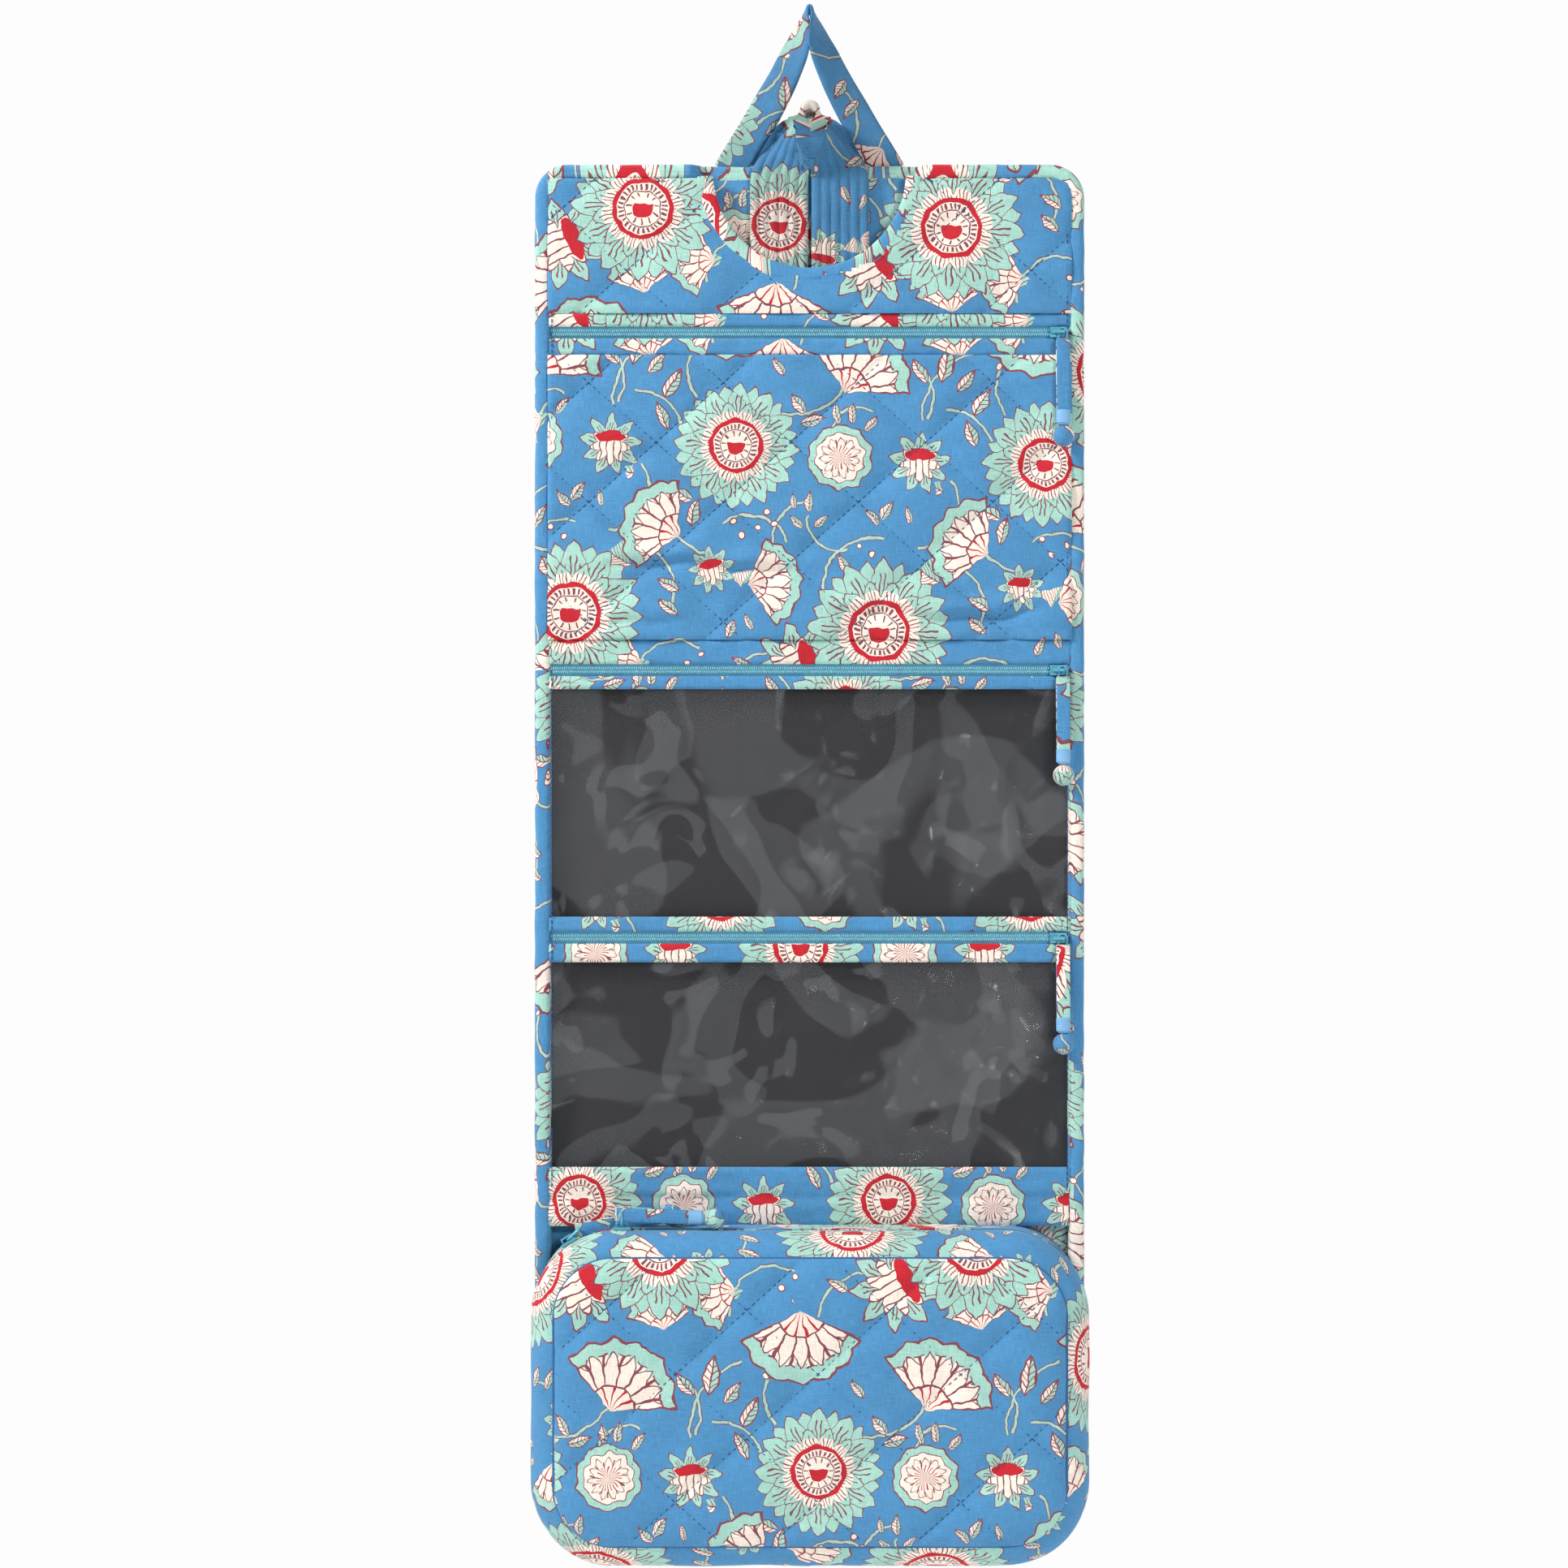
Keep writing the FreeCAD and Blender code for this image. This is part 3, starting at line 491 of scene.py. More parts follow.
    def group(self) -> bpy.types.NodeTree:
        """Returns the print as a node group, drawn the first time it is asked for."""
        found = bpy.data.node_groups.get("block_print")
        if found:
            return found
        tree = bpy.data.node_groups.new("block_print", "ShaderNodeTree")
        tree.interface.new_socket("Place", in_out="INPUT", socket_type="NodeSocketVector")
        tree.interface.new_socket("Colour", in_out="OUTPUT", socket_type="NodeSocketColor")
        place = tree.nodes.new("NodeGroupInput")
        result = tree.nodes.new("NodeGroupOutput")
        tree.links.new(self.draw(Sketch(tree), place.outputs[0]), result.inputs[0])
        return tree


@dataclass(frozen=True)
class Finish:
    """A plain procedural finish that the special ones build on."""

    name: str
    roughness: float = 0.6

    def material(self) -> bpy.types.Material:
        """Returns the finish's material, made the first time it is asked for."""
        found = bpy.data.materials.get(self.name)
        if found:
            return found
        made = bpy.data.materials.new(self.name)
        made.use_nodes = True
        s = Sketch(made.node_tree)
        shader = made.node_tree.nodes["Principled BSDF"]
        shader.inputs["Roughness"].default_value = self.roughness
        self.dress(s, shader)
        return made

    def dress(self, s: Sketch, shader: bpy.types.Node) -> None:
        """Adds the finish's own nodes to its shader."""
        raise NotImplementedError

    def bump(self, s: Sketch, shader: bpy.types.Node, height: object, distance: float,
             strength: float = 1.0) -> None:
        """Raises the surface by a height, over a distance in metres."""
        made = s.node("ShaderNodeBump", {"Height": height, "Distance": distance, "Strength": strength})
        s.tree.links.new(made.outputs[0], shader.inputs["Normal"])


@dataclass(frozen=True)
class PrintedCotton(Finish):
    """Slubby block-printed cotton; flat pieces without a map of their own read their place instead."""

    own_map: bool = True
    # depth below 1 darkens the whole print and weave: painted shade for the straps, which hang in shadow
    depth: float = 1.0

    def dress(self, s: Sketch, shader: bpy.types.Node) -> None:
        """Draws the print, the slub yarns and the weave."""
        source = s.node("ShaderNodeTexCoord")
        if self.own_map:
            metres = source.outputs["UV"]
        else:
            parts = s.node("ShaderNodeSeparateXYZ", {0: source.outputs["Object"]})
            metres = s.node("ShaderNodeCombineXYZ", {0: parts.outputs[0], 1: parts.outputs[2]}).outputs[0]
        colour = s.node("ShaderNodeGroup", {0: metres}, node_tree=BlockPrint().group()).outputs[0]
        across = s.vector("MULTIPLY", metres, (150, 2600, 1))
        along = s.vector("MULTIPLY", metres, (2600, 150, 1))
        slub = s.node("ShaderNodeTexNoise", {"Vector": across, "Scale": 1.0, "Detail": 2.0}).outputs[0]
        warp = s.node("ShaderNodeTexNoise", {"Vector": along, "Scale": 1.0, "Detail": 2.0}).outputs[0]
        weave = s.math("ADD", slub, warp)
        fade = s.node("ShaderNodeTexNoise", {"Vector": metres, "Scale": 34.0, "Detail": 3.0}).outputs[0]
        # depth scales the cloth's colour down: painted shade
        lift = s.math("MULTIPLY_ADD", weave, 0.62 * self.depth, 0.38 * self.depth)
        lift = s.math("ADD", lift, s.math("MULTIPLY_ADD", fade, 0.30, -0.15))
        colour = s.node("ShaderNodeVectorMath", {0: colour, "Scale": lift}, operation="SCALE").outputs[0]
        s.tree.links.new(colour, shader.inputs["Base Color"])
        shader.inputs["Sheen Weight"].default_value = 0.12
        shader.inputs["Sheen Roughness"].default_value = 0.6
        shader.inputs["Specular IOR Level"].default_value = 0.25
        self.bump(s, shader, weave, 0.00025, 0.8)


@dataclass(frozen=True)
class Woven(Finish):
    """A plain woven or braided cloth, such as a lining, zip tape or thread."""

    colour: tuple[float, float, float] = (0.5, 0.5, 0.5)
    yarns: float = 1600.0
    spread: float = 0.25
    relief: float = 0.5

    def dress(self, s: Sketch, shader: bpy.types.Node) -> None:
        """Draws crossed yarns and a slow change of shade."""
        place = s.node("ShaderNodeTexCoord").outputs["Object"]
        wave = s.node("ShaderNodeTexWave", {"Vector": place, "Scale": self.yarns / 6, "Distortion": 1.5},
                      wave_type="BANDS", bands_direction="DIAGONAL").outputs[1]
        cloud = s.node("ShaderNodeTexNoise", {"Vector": place, "Scale": 60.0, "Detail": 4.0}).outputs[0]
        lift = s.math("MULTIPLY_ADD", wave, self.spread, 1 - self.spread * 0.6)
        lift = s.math("MULTIPLY", lift, s.math("MULTIPLY_ADD", cloud, 0.5, 0.75))
        tint = s.node("ShaderNodeVectorMath", {0: self.colour, "Scale": lift}, operation="SCALE").outputs[0]
        s.tree.links.new(tint, shader.inputs["Base Color"])
        self.bump(s, shader, wave, 0.0002, self.relief)


@dataclass(frozen=True)
class Enamel(Finish):
    """Glossy painted metal with faint wear."""

    colour: tuple[float, float, float] = (0.05, 0.3, 0.45)

    def dress(self, s: Sketch, shader: bpy.types.Node) -> None:
        """Draws the paint, a little thinner and rougher in places."""
        place = s.node("ShaderNodeTexCoord").outputs["Object"]
        cloud = s.node("ShaderNodeTexNoise", {"Vector": place, "Scale": 420.0, "Detail": 3.0}).outputs[0]
        lift = s.math("MULTIPLY_ADD", cloud, 0.5, 0.75)
        tint = s.node("ShaderNodeVectorMath", {0: self.colour, "Scale": lift}, operation="SCALE").outputs[0]
        s.tree.links.new(tint, shader.inputs["Base Color"])
        uneven = s.math("MULTIPLY_ADD", cloud, 0.25, self.roughness - 0.1)
        s.tree.links.new(uneven, shader.inputs["Roughness"])
        shader.inputs["Coat Weight"].default_value = 0.6
        shader.inputs["Coat Roughness"].default_value = 0.12
        self.bump(s, shader, cloud, 0.0001, 0.4)


@dataclass(frozen=True)
class Vinyl(Finish):
    """Clear vinyl film, glossy and faintly smoky, with painted reflection patches."""

    def dress(self, s: Sketch, shader: bpy.types.Node) -> None:
        """Makes the film let most light through and keep its own gloss; crisp patches of light grey film are
        painted reflections.
        """
        place = s.node("ShaderNodeTexCoord").outputs["Object"]
        haze_and_reflection = s.math("ADD", 0.008, 0.0)
        # the noise steps below raise the film's cover in crisp light grey patches: painted reflections
        reflection_patches = ((9.0, 0.49, 0.515, 0.026), (17.0, 0.55, 0.57, 0.022), (30.0, 0.60, 0.62, 0.03))
        for scale, low, high, amount in reflection_patches:
            cloud = s.node("ShaderNodeTexNoise",
                           {"Vector": place, "Scale": scale, "Detail": 1.5, "Distortion": 1.2})
            step = s.node("ShaderNodeMapRange", {0: cloud.outputs[0], 1: low, 2: high, 3: 0.0, 4: amount},
                          interpolation_type="SMOOTHSTEP")
            haze_and_reflection = s.math("ADD", haze_and_reflection, step.outputs[0])
        s.tree.links.new(haze_and_reflection, shader.inputs["Alpha"])
        shader.inputs["Base Color"].default_value = (0.62, 0.64, 0.68, 1)
        shader.inputs["Specular IOR Level"].default_value = 0.7


COTTON = PrintedCotton("block_printed_cotton", 0.86)
COTTON_FLAT = PrintedCotton("block_printed_cotton_flat", 0.86, own_map=False)
# a darker copy of the cotton for the straps: painted shade
COTTON_SHADED = PrintedCotton("block_printed_cotton_shaded", 0.88, depth=0.70)
LINING = Woven("charcoal_lining_cloth", 0.8, (0.012, 0.012, 0.016), 7000, 0.2, 0.15)
TAPE = Woven("zip_tape_weave", 0.75, (0.115, 0.400, 0.560), 2400, 0.35)
COIL = Enamel("coil_nylon", 0.38, (0.200, 0.520, 0.650))
SLIDER = Enamel("teal_enamel", 0.26, (0.095, 0.380, 0.520))
STITCH = Woven("quilting_thread", 0.8, (0.012, 0.070, 0.190), 3000, 0.2)
SEAM = Woven("seam_cord_cloth", 0.8, (0.030, 0.140, 0.330), 3000, 0.2)
WRAP = Woven("wrap_thread", 0.7, (0.210, 0.450, 0.720), 3000, 0.2)
FILM = Vinyl("clear_film", 0.06)


# ---------------------------------------------------------------- mesh helpers


def finish_mesh(name: str, bm: bmesh.types.BMesh, finish: Finish, sharp: float = 55.0) -> bpy.types.Object:
    """Turns a bmesh into a smooth object at the origin.

    Args:
        name: the piece's name.
        bm: the shape, used up here.
        finish: what it is made of.
        sharp: edges that turn more than this many degrees stay crisp.

    Returns:
        The new object.
    """
    bmesh.ops.recalc_face_normals(bm, faces=bm.faces[:])
    mesh = bpy.data.meshes.new(name)
    bm.to_mesh(mesh)
    bm.free()
    mesh.shade_smooth()
    mesh.set_sharp_from_angle(angle=math.radians(sharp))
    mesh.materials.append(finish.material())
    made = bpy.data.objects.new(name, mesh)
    bpy.context.scene.collection.objects.link(made)
    return made


@dataclass(frozen=True)
class Cut:
    """How a piece was cut from the printed cloth: where one of its suns sits, and the cloth's turn."""

    sun_x: float = 0.0
    sun_z: float = 0.0
    turn: float = 0.0

    def map(self, x: float, z: float) -> tuple[float, float]:
        """Returns the place on the cloth, in metres, of a place on the piece."""
        turn = math.radians(self.turn)
        x, z = x - self.sun_x, z - self.sun_z
        return x * math.cos(turn) - z * math.sin(turn), x * math.sin(turn) + z * math.cos(turn)


def cloth(
    columns: int,
    rows: int,
    place: Place,
    lay: Callable[[float, float], tuple[float, float]],
    keep: Callable[[float, float], bool] | None = None,
) -> bmesh.types.BMesh:
    """Bends a flat grid into a sheet of cloth that knows its place on the printed cloth.

    Args:
        columns: faces across.
        rows: faces along.
        place: gives the point of each place from 0 to 1 across and along.
        lay: gives each place's print position in metres.
        keep: says which faces stay, by their middle; all of them if left out.

    Returns:
        The sheet, one face thick.
    """
    bm = bmesh.new()
    bmesh.ops.create_grid(bm, x_segments=columns, y_segments=rows, size=0.5)
    if keep:
        gone = []
        for face in bm.faces:
            middle = face.calc_center_median()
            if not keep(middle.x + 0.5, middle.y + 0.5):
                gone.append(face)
        bmesh.ops.delete(bm, geom=gone, context="FACES")
    layer = bm.loops.layers.uv.new("UVMap")
    for face in bm.faces:
        for loop in face.loops:
            spot = loop.vert.co
            loop[layer].uv = lay(spot.x + 0.5, spot.y + 0.5)
    for vert in bm.verts:
        vert.co = place(vert.co.x + 0.5, vert.co.y + 0.5)
    bm.normal_update()
    return bm


def thicken(bm: bmesh.types.BMesh, depth: float) -> None:
    """Gives a sheet a back, a depth behind its face, and closes its edges."""
    bm.normal_update()
    made = bmesh.ops.extrude_face_region(bm, geom=bm.faces[:], use_keep_orig=True)
    moved = [(v, v.normal.copy()) for v in made["geom"] if isinstance(v, bmesh.types.BMVert)]
    for vert, normal in moved:
        vert.co -= normal * depth


def edge_roll(distance: float, radius: float, depth: float) -> float:
    """Returns how far back cloth curls at a distance from a folded edge."""
    if distance >= radius:
        return 0.0
    part = 1 - max(distance, 0.0) / radius
    return depth * (1 - math.sqrt(max(0.0, 1 - part * part)))


def ripple(x: float, z: float, long: float, short: float, seed: float) -> float:
    """Returns a smooth random height from −1 to 1 with its own grain along x and z, in metres."""
    return noise.noise(Vector((x / long, z / short, seed)))


@dataclass(frozen=True)
class Quilting:
    """Diamond quilting: crossed stitch lines that hold the wadding down, in metres."""

    wide: float = 0.071
    tall: float = 0.063
    shift_x: float = 0.0
    shift_z: float = 0.0
    puff: float = 0.0027
    soft: float = 0.0052

    def line_offsets(self, x: float, z: float) -> tuple[float, float]:
        """Returns the distances to the nearest line of each family."""
        scale = 1 / math.hypot(1 / self.wide, 1 / self.tall)
        found = []
        for sign in (1, -1):
            phase = (x - self.shift_x) / self.wide + sign * (z - self.shift_z) / self.tall
            found.append(abs(phase - round(phase)) * scale)
        return found[0], found[1]

    def height(self, x: float, z: float) -> float:
        """Returns how far the wadding puffs out between the lines."""
        total = 1.0
        for distance in self.line_offsets(x, z):
            total *= 1 - math.exp(-distance / self.soft)
        pucker = ripple(x, z, 0.006, 0.006, 3.1) * 0.00022 * (1 - total)
        return self.puff * total + pucker

    def stitch_places(self, box: tuple[float, float, float, float],
                      pitch: float) -> list[tuple[float, float, float]]:
        """Returns the middle and direction of every stitch on the lines inside a box.

        Args:
            box: lowest x, lowest z, highest x, highest z.
            pitch: distance from stitch to stitch.

        Returns:
            Tuples of x, z and the angle of the line.
        """
        low_x, low_z, high_x, high_z = box
        places = []
        for sign in (1, -1):
            direction = Vector((self.wide, -sign * self.tall)).normalized()
            angle = math.atan2(direction.y, direction.x)
            corners = [(x - self.shift_x) / self.wide + sign * (z - self.shift_z) / self.tall
                       for x in (low_x, high_x) for z in (low_z, high_z)]
            for number in range(math.ceil(min(corners)), math.floor(max(corners)) + 1):
                start_x = self.shift_x + number * self.wide
                reach = math.hypot(high_x - low_x, high_z - low_z) + abs(start_x)
                steps = int(reach / pitch)
                for step in range(-steps, steps + 1):
                    x = start_x + direction.x * step * pitch
                    z = self.shift_z + direction.y * step * pitch
                    if low_x < x < high_x and low_z < z < high_z:
                        places.append((x, z, angle))
        return places


def repeated(name: str, template: bmesh.types.BMesh, placings: list[Matrix],
             finish: Finish) -> bpy.types.Object:
    """Places copies of one small shape.

    Args:
        name: the piece's name.
        template: the shape, used up here.
        placings: where each copy goes.
        finish: what it is made of.

    Returns:
        One object with every copy.
    """
    template.verts.index_update()
    points = [vert.co.copy() for vert in template.verts]
    faces = [[vert.index for vert in face.verts] for face in template.faces]
    template.free()
    verts = [placing @ point for placing in placings for point in points]
    count = len(points)
    polygons = [[count * number + index for index in face]
                for number in range(len(placings)) for face in faces]
    mesh = bpy.data.meshes.new(name)
    mesh.from_pydata(verts, [], polygons)
    mesh.shade_smooth()
    mesh.materials.append(finish.material())
    made = bpy.data.objects.new(name, mesh)
    bpy.context.scene.collection.objects.link(made)
    return made


def stitches(name: str, places: list[tuple[Vector, Vector]], finish: Finish, length: float = 0.0030,
             radius: float = 0.00033) -> bpy.types.Object:
    """Lays small thread stitches.

    Args:
        name: the piece's name.
        places: each stitch's middle and direction.
        finish: the thread.
        length: a stitch's length.
        radius: the thread's radius.

    Returns:
        One object with every stitch.
    """
    template = bmesh.new()
    bmesh.ops.create_uvsphere(template, u_segments=5, v_segments=4, radius=1.0)
    shape = Matrix.Diagonal((length / 2, radius, radius, 1))
    placings = [Matrix.Translation(middle) @ direction.to_track_quat("X", "Z").to_matrix().to_4x4() @ shape
                for middle, direction in places]
    return repeated(name, template, placings, finish)


@dataclass
class Panel:
    """A flat piece of cloth that faces forward, with puffed and rolled edges, in metres."""

    name: str
    low_x: float
    high_x: float
    low_z: float
    high_z: float
    face: float
    thickness: float
    relief: Relief
    cut: Cut = Cut()
    step: float = 0.002
    roll: float = 0.0012
    finish: Finish = COTTON
    keep: Callable[[float, float], bool] | None = None
    half_width: Callable[[float], float] | None = None
    outward: int = -1

    def spot(self, u: float, v: float) -> tuple[float, float]:
        """Returns x and z of a place from 0 to 1 across and along, with closer rows at rounded ends."""
        if self.half_width:
            z = self.low_z + (self.high_z - self.low_z) * (1 - math.cos(math.pi * v)) / 2
            return (2 * u - 1) * self.half_width(z), z
        z = self.low_z + (self.high_z - self.low_z) * v
        return self.low_x + (self.high_x - self.low_x) * u, z

    def depth(self, x: float, z: float) -> float:
        """Returns how far forward the face is at a place."""
        right = self.half_width(z) if self.half_width else self.high_x
        left = -right if self.half_width else self.low_x
        edge = min(x - left, right - x, z - self.low_z, self.high_z - z)
        rolled = edge_roll(edge, self.roll * 2, self.roll) if self.roll else 0.0
        return self.face + self.outward * (self.relief(x, z) - rolled)

    def build(self) -> bpy.types.Object:
        """Builds the piece."""
        columns = max(2, round((self.high_x - self.low_x) / self.step))
        rows = max(2, round((self.high_z - self.low_z) / self.step))

        def place(u: float, v: float) -> Vector:
            """Returns where a point of the cloth lies."""
            x, z = self.spot(u, v)
            return Vector((x, self.depth(x, z), z))

        keep = (lambda u, v: self.keep(*self.spot(u, v))) if self.keep else None
        bm = cloth(columns, rows, place, lambda u, v: self.cut.map(*self.spot(u, v)), keep)
        made = bmesh.ops.extrude_face_region(bm, geom=bm.faces[:], use_keep_orig=True)
        for vert in made["geom"]:
            if isinstance(vert, bmesh.types.BMVert):
                vert.co.y = self.face + self.thickness
        return finish_mesh(self.name, bm, self.finish)


def tube(
    name: str,
    path: list[tuple[Vector, Vector, Vector]],
    profile: Callable[[float, float], tuple[float, float]],
    around: int,
    cut: Cut,
    finish: Finish = COTTON,
) -> bpy.types.Object:
    """Runs a closed outline along a path and caps its ends.

    Args:
        name: the piece's name.
        path: points with two directions that the outline is measured along.
        profile: gives the outline's two measures at a turn from 0 to 1 and a run from 0 to 1.
        around: faces round the outline.
        cut: how the cloth was cut; the outline unrolls across the path.
        finish: what it is made of.

    Returns:
        The new object.
    """
    rows = len(path) - 1
    runs = [0.0]
    for before, after in zip(path, path[1:]):
        runs.append(runs[-1] + (after[0] - before[0]).length)

    def place(u: float, v: float) -> Vector:
        """Returns where a point of the cloth lies."""
        point, first, second = path[min(rows, round(v * rows))]
        along_first, along_second = profile(u, v)
        return point + first * along_first + second * along_second

    def lay(u: float, v: float) -> tuple[float, float]:
        """Returns the place in the print."""
        point = path[min(rows, round(v * rows))][0]
        a, b = profile(u, v)
        return cut.map(point.x + path[min(rows, round(v * rows))][1].x * (a + b), point.z + (a - b) * 0.3)

    bm = cloth(around, rows, place, lay)
    bmesh.ops.remove_doubles(bm, verts=bm.verts[:], dist=0.00001)
    open_edges = [edge for edge in bm.edges if edge.is_boundary]
    bmesh.ops.holes_fill(bm, edges=open_edges, sides=0)
    return finish_mesh(name, bm, finish)


def rounded_outline(half_a: float, half_b: float,
                    power: float = 3.2) -> Callable[[float, float], tuple[float, float]]:
    """Returns a closed rounded-box outline of two half sizes; power sets how square it is."""

    def outline(u: float, _v: float) -> tuple[float, float]:
        """Returns a point of the outline."""
        angle = 2 * math.pi * u
        c, s = math.cos(angle), math.sin(angle)
        a = math.copysign(abs(c) ** (2 / power), c)
        b = math.copysign(abs(s) ** (2 / power), s)
        return half_a * a, half_b * b

    return outline


def smooth_path(points: list[tuple[float, ...]], count: int) -> list[tuple[float, ...]]:
    """Returns count + 1 evenly numbered places on a smooth curve through the points."""
    last = len(points) - 1
    result = []
    for number in range(count + 1):
        at = number / count * last
        first = min(int(at), last - 1)
        part = at - first
        before = points[max(first - 1, 0)]
        start, end = points[first], points[first + 1]
        after = points[min(first + 2, last)]
        row = []
        for a, b, c, d in zip(before, start, end, after):
            row.append(0.5 * (2 * b + (c - a) * part + (2 * a - 5 * b + 4 * c - d) * part ** 2
                              + (3 * b - a - 3 * c + d) * part ** 3))
        result.append(tuple(row))
    return result


def dress_node(frame: dict, names: list[str], finish: Finish) -> None:
    """Gives CAD nodes that stay on show a better material."""
    for name in names:
        node = frame["nodes"][name]
        node.data.materials.clear()
        node.data.materials.append(finish.material())


def settle(piece: bpy.types.Object, body: Body, slot: str, *nodes: str) -> bpy.types.Object:
    """Lets a piece ride on a body and hides the CAD nodes it stands for."""
    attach(piece, body.value)
    if nodes:
        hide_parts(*nodes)
    LOG.info("%s rides on %s", piece.name, body.value)
    return piece


def bend(piece: bpy.types.Object, first: Body, second: Body, start: Vector, end: Vector, slot: str,
         *nodes: str) -> bpy.types.Object:
    """Bakes a piece's placing into its mesh and hides the CAD nodes it stands for; the piece rides on neither
    body.
    """
    tuple(start)
    tuple(end)
    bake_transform(piece)
    if nodes:
        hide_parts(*nodes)
    LOG.info("%s bends from %s to %s", piece.name, first.value, second.value)
    return piece


# ---------------------------------------------------------------- the bag's sub-assemblies


def rounded_half_width(half: float, top: float, bottom: float, top_corner: float,
                       bottom_corner: float) -> Relief:
    """Returns a function of height that gives half the width of a board with rounded corners."""

    def width(z: float) -> float:
        """Returns the half width at a height."""
        for corner, edge in ((top_corner, top - z), (bottom_corner, z - bottom)):
            if corner and edge < corner:
                rise = corner - max(edge, 0.0)
                return half - corner + math.sqrt(max(0.0, corner * corner - rise * rise))
        return half

    return width


@dataclass
class OuterCloth:
    """The quilted back of the four sections and the bindings round their edges."""

    quilting: Quilting = Quilting(shift_x=0.012, shift_z=-0.020)
    tab_half: float = 0.139
    binding_half: float = 0.0042
    thickness: float = 0.0026
    pouch_bottom: float = -0.8180
    pouch_corner: float = 0.044
    stitch_face: float = -0.01285
    tab_end: float = -0.684
    notch_half: float = 0.059
    notch_depth: float = 0.0055

    def relief(self, x: float, z: float) -> float:
        """Returns the puff of the quilted back, with slow sags."""
        return self.quilting.height(x, z) + 0.0006 * ripple(x, z, 0.06, 0.03, 8.0)

    def back(self, name: str, low: float, high: float, half: Relief) -> Panel:
        """Returns one section's back panel, which faces backwards."""
        return Panel(name, -L.half_width, L.half_width, low, high, L.back, -self.thickness, self.relief,
                     Cut(0.03, -0.15), step=0.003, roll=0.0006, half_width=half, outward=1)

    def pouch_half(self, z: float) -> float:
        """Returns half the width of the pouch's back at a height."""
        if z > self.tab_end:
            return self.tab_half
        return rounded_half_width(L.half_width, 0.0, self.pouch_bottom, 0.0, self.pouch_corner)(z)

    def build_backs(self) -> None:
        """Builds the four back panels."""
        straight = rounded_half_width(self.tab_half, 0.0, -1.0, 0.0, 0.0)
        top = self.back("shell_top", L.top_fold_end, L.top_edge - 0.0005,
                        rounded_half_width(self.tab_half, L.top_edge, -1.0, L.corner, 0.0)).build()
        bend(top, Body.TOP, Body.MIDDLE, *MIDDLE_BEND, "printed_cotton",
             "back_shell_top")
        middle = self.back("shell_middle", L.lower_fold_end, L.top_fold_end, straight).build()
        bend(middle, Body.MIDDLE, Body.SPINE, *SPINE_BEND, "printed_cotton",
             "back_shell_middle")
        spine = self.back("shell_spine", L.pouch_fold_end, L.lower_fold_end, straight).build()
        bend(spine, Body.SPINE, Body.POUCH, *POUCH_BEND, "printed_cotton",
             "back_shell_spine")
        pouch = self.back("pouch_back", self.pouch_bottom, L.pouch_fold_end, self.pouch_half).build()
        settle(pouch, Body.POUCH, "printed_cotton", "pouch_back_panel")

    def binding(self, name: str, points: list[tuple[float, float]], cut: Cut) -> bpy.types.Object:
        """Builds a folded binding along points given as x and z, its outer side away from the middle."""
        half_deep = (L.back - L.binding_face) / 2
        path = []
        for number, (x, z) in enumerate(points):
            before = Vector(points[max(number - 1, 0)])
            after = Vector(points[min(number + 1, len(points) - 1)])
            run = (after - before).normalized()
            outward = Vector((-run.y, 0, run.x))
            squeeze = 1.0
            if z > L.top_edge - 0.02:
                beside = (abs(x) - self.notch_half) / 0.006
                squeeze = min(1.0, max(0.0, beside + 0.5))
            front = L.binding_face * squeeze - self.notch_depth * (1 - squeeze)
            centre_y = (L.back + front) / 2
            depth = (L.back - front) / 2 / half_deep
            wobble = 0.0004 * ripple(x + 0.3, z, 0.012, 0.012, 5.0)
            path.append((Vector((x, centre_y, z)) + outward * wobble, outward, Vector((0, depth, 0))))
        outline = rounded_outline(self.binding_half, half_deep, 3.4)
        return tube(name, path, outline, 28, cut)

    def build_bindings(self) -> None:
        """Builds the bindings down both sides and over the rounded top."""
        reach = L.half_width - self.binding_half
        bend_radius = L.corner - self.binding_half
        top = L.top_edge - self.binding_half
        steps = int((top - bend_radius - L.top_fold_end) / ALONG)
        side = [(-reach, L.top_fold_end + step * ALONG) for step in range(steps)]
        corner = []
        for turn in range(0, 91, 6):
            angle = math.radians(turn)
            corner.append((-reach + bend_radius - bend_radius * math.cos(angle),
                           top - bend_radius + bend_radius * math.sin(angle)))
        across_half = reach - bend_radius
        count = int(2 * across_half / ALONG)
        across = [(-across_half + 2 * across_half * number / count, top) for number in range(1, count)]
        left = side + corner
        right = [(-x, z) for x, z in reversed(left)]
        whole = self.binding("binding_top", left + across + right, Cut(0.07, -0.10))
        bend(whole, Body.TOP, Body.MIDDLE, *MIDDLE_BEND, "printed_cotton",
             "edge_binding_top")
        for sign, word in ((-1, "left"), (1, "right")):
            runs = (
                ("middle", L.lower_fold_end, L.top_fold_end, Body.MIDDLE, Body.SPINE, SPINE_BEND),
                ("spine", L.pouch_fold_end, L.lower_fold_end, Body.SPINE, Body.POUCH, POUCH_BEND),
                ("tab", self.tab_end, L.pouch_fold_end, Body.POUCH, None, None),
            )
            for part, low, high, first, second, turn in runs:
                count = int((high - low) / ALONG)
                heights = [low + (high - low) * number / count for number in range(count + 1)]
                if sign > 0:
                    heights.reverse()
                points = [(sign * reach, z) for z in heights]
                made = self.binding(f"binding_{part}_{word}", points, Cut(sign * 0.11, -0.37))
                nodes = (f"edge_binding_{part}",) if part != "tab" else ()
                if second:
                    bend(made, first, second, *turn, "printed_cotton", *nodes)
                else:
                    settle(made, first, "printed_cotton")

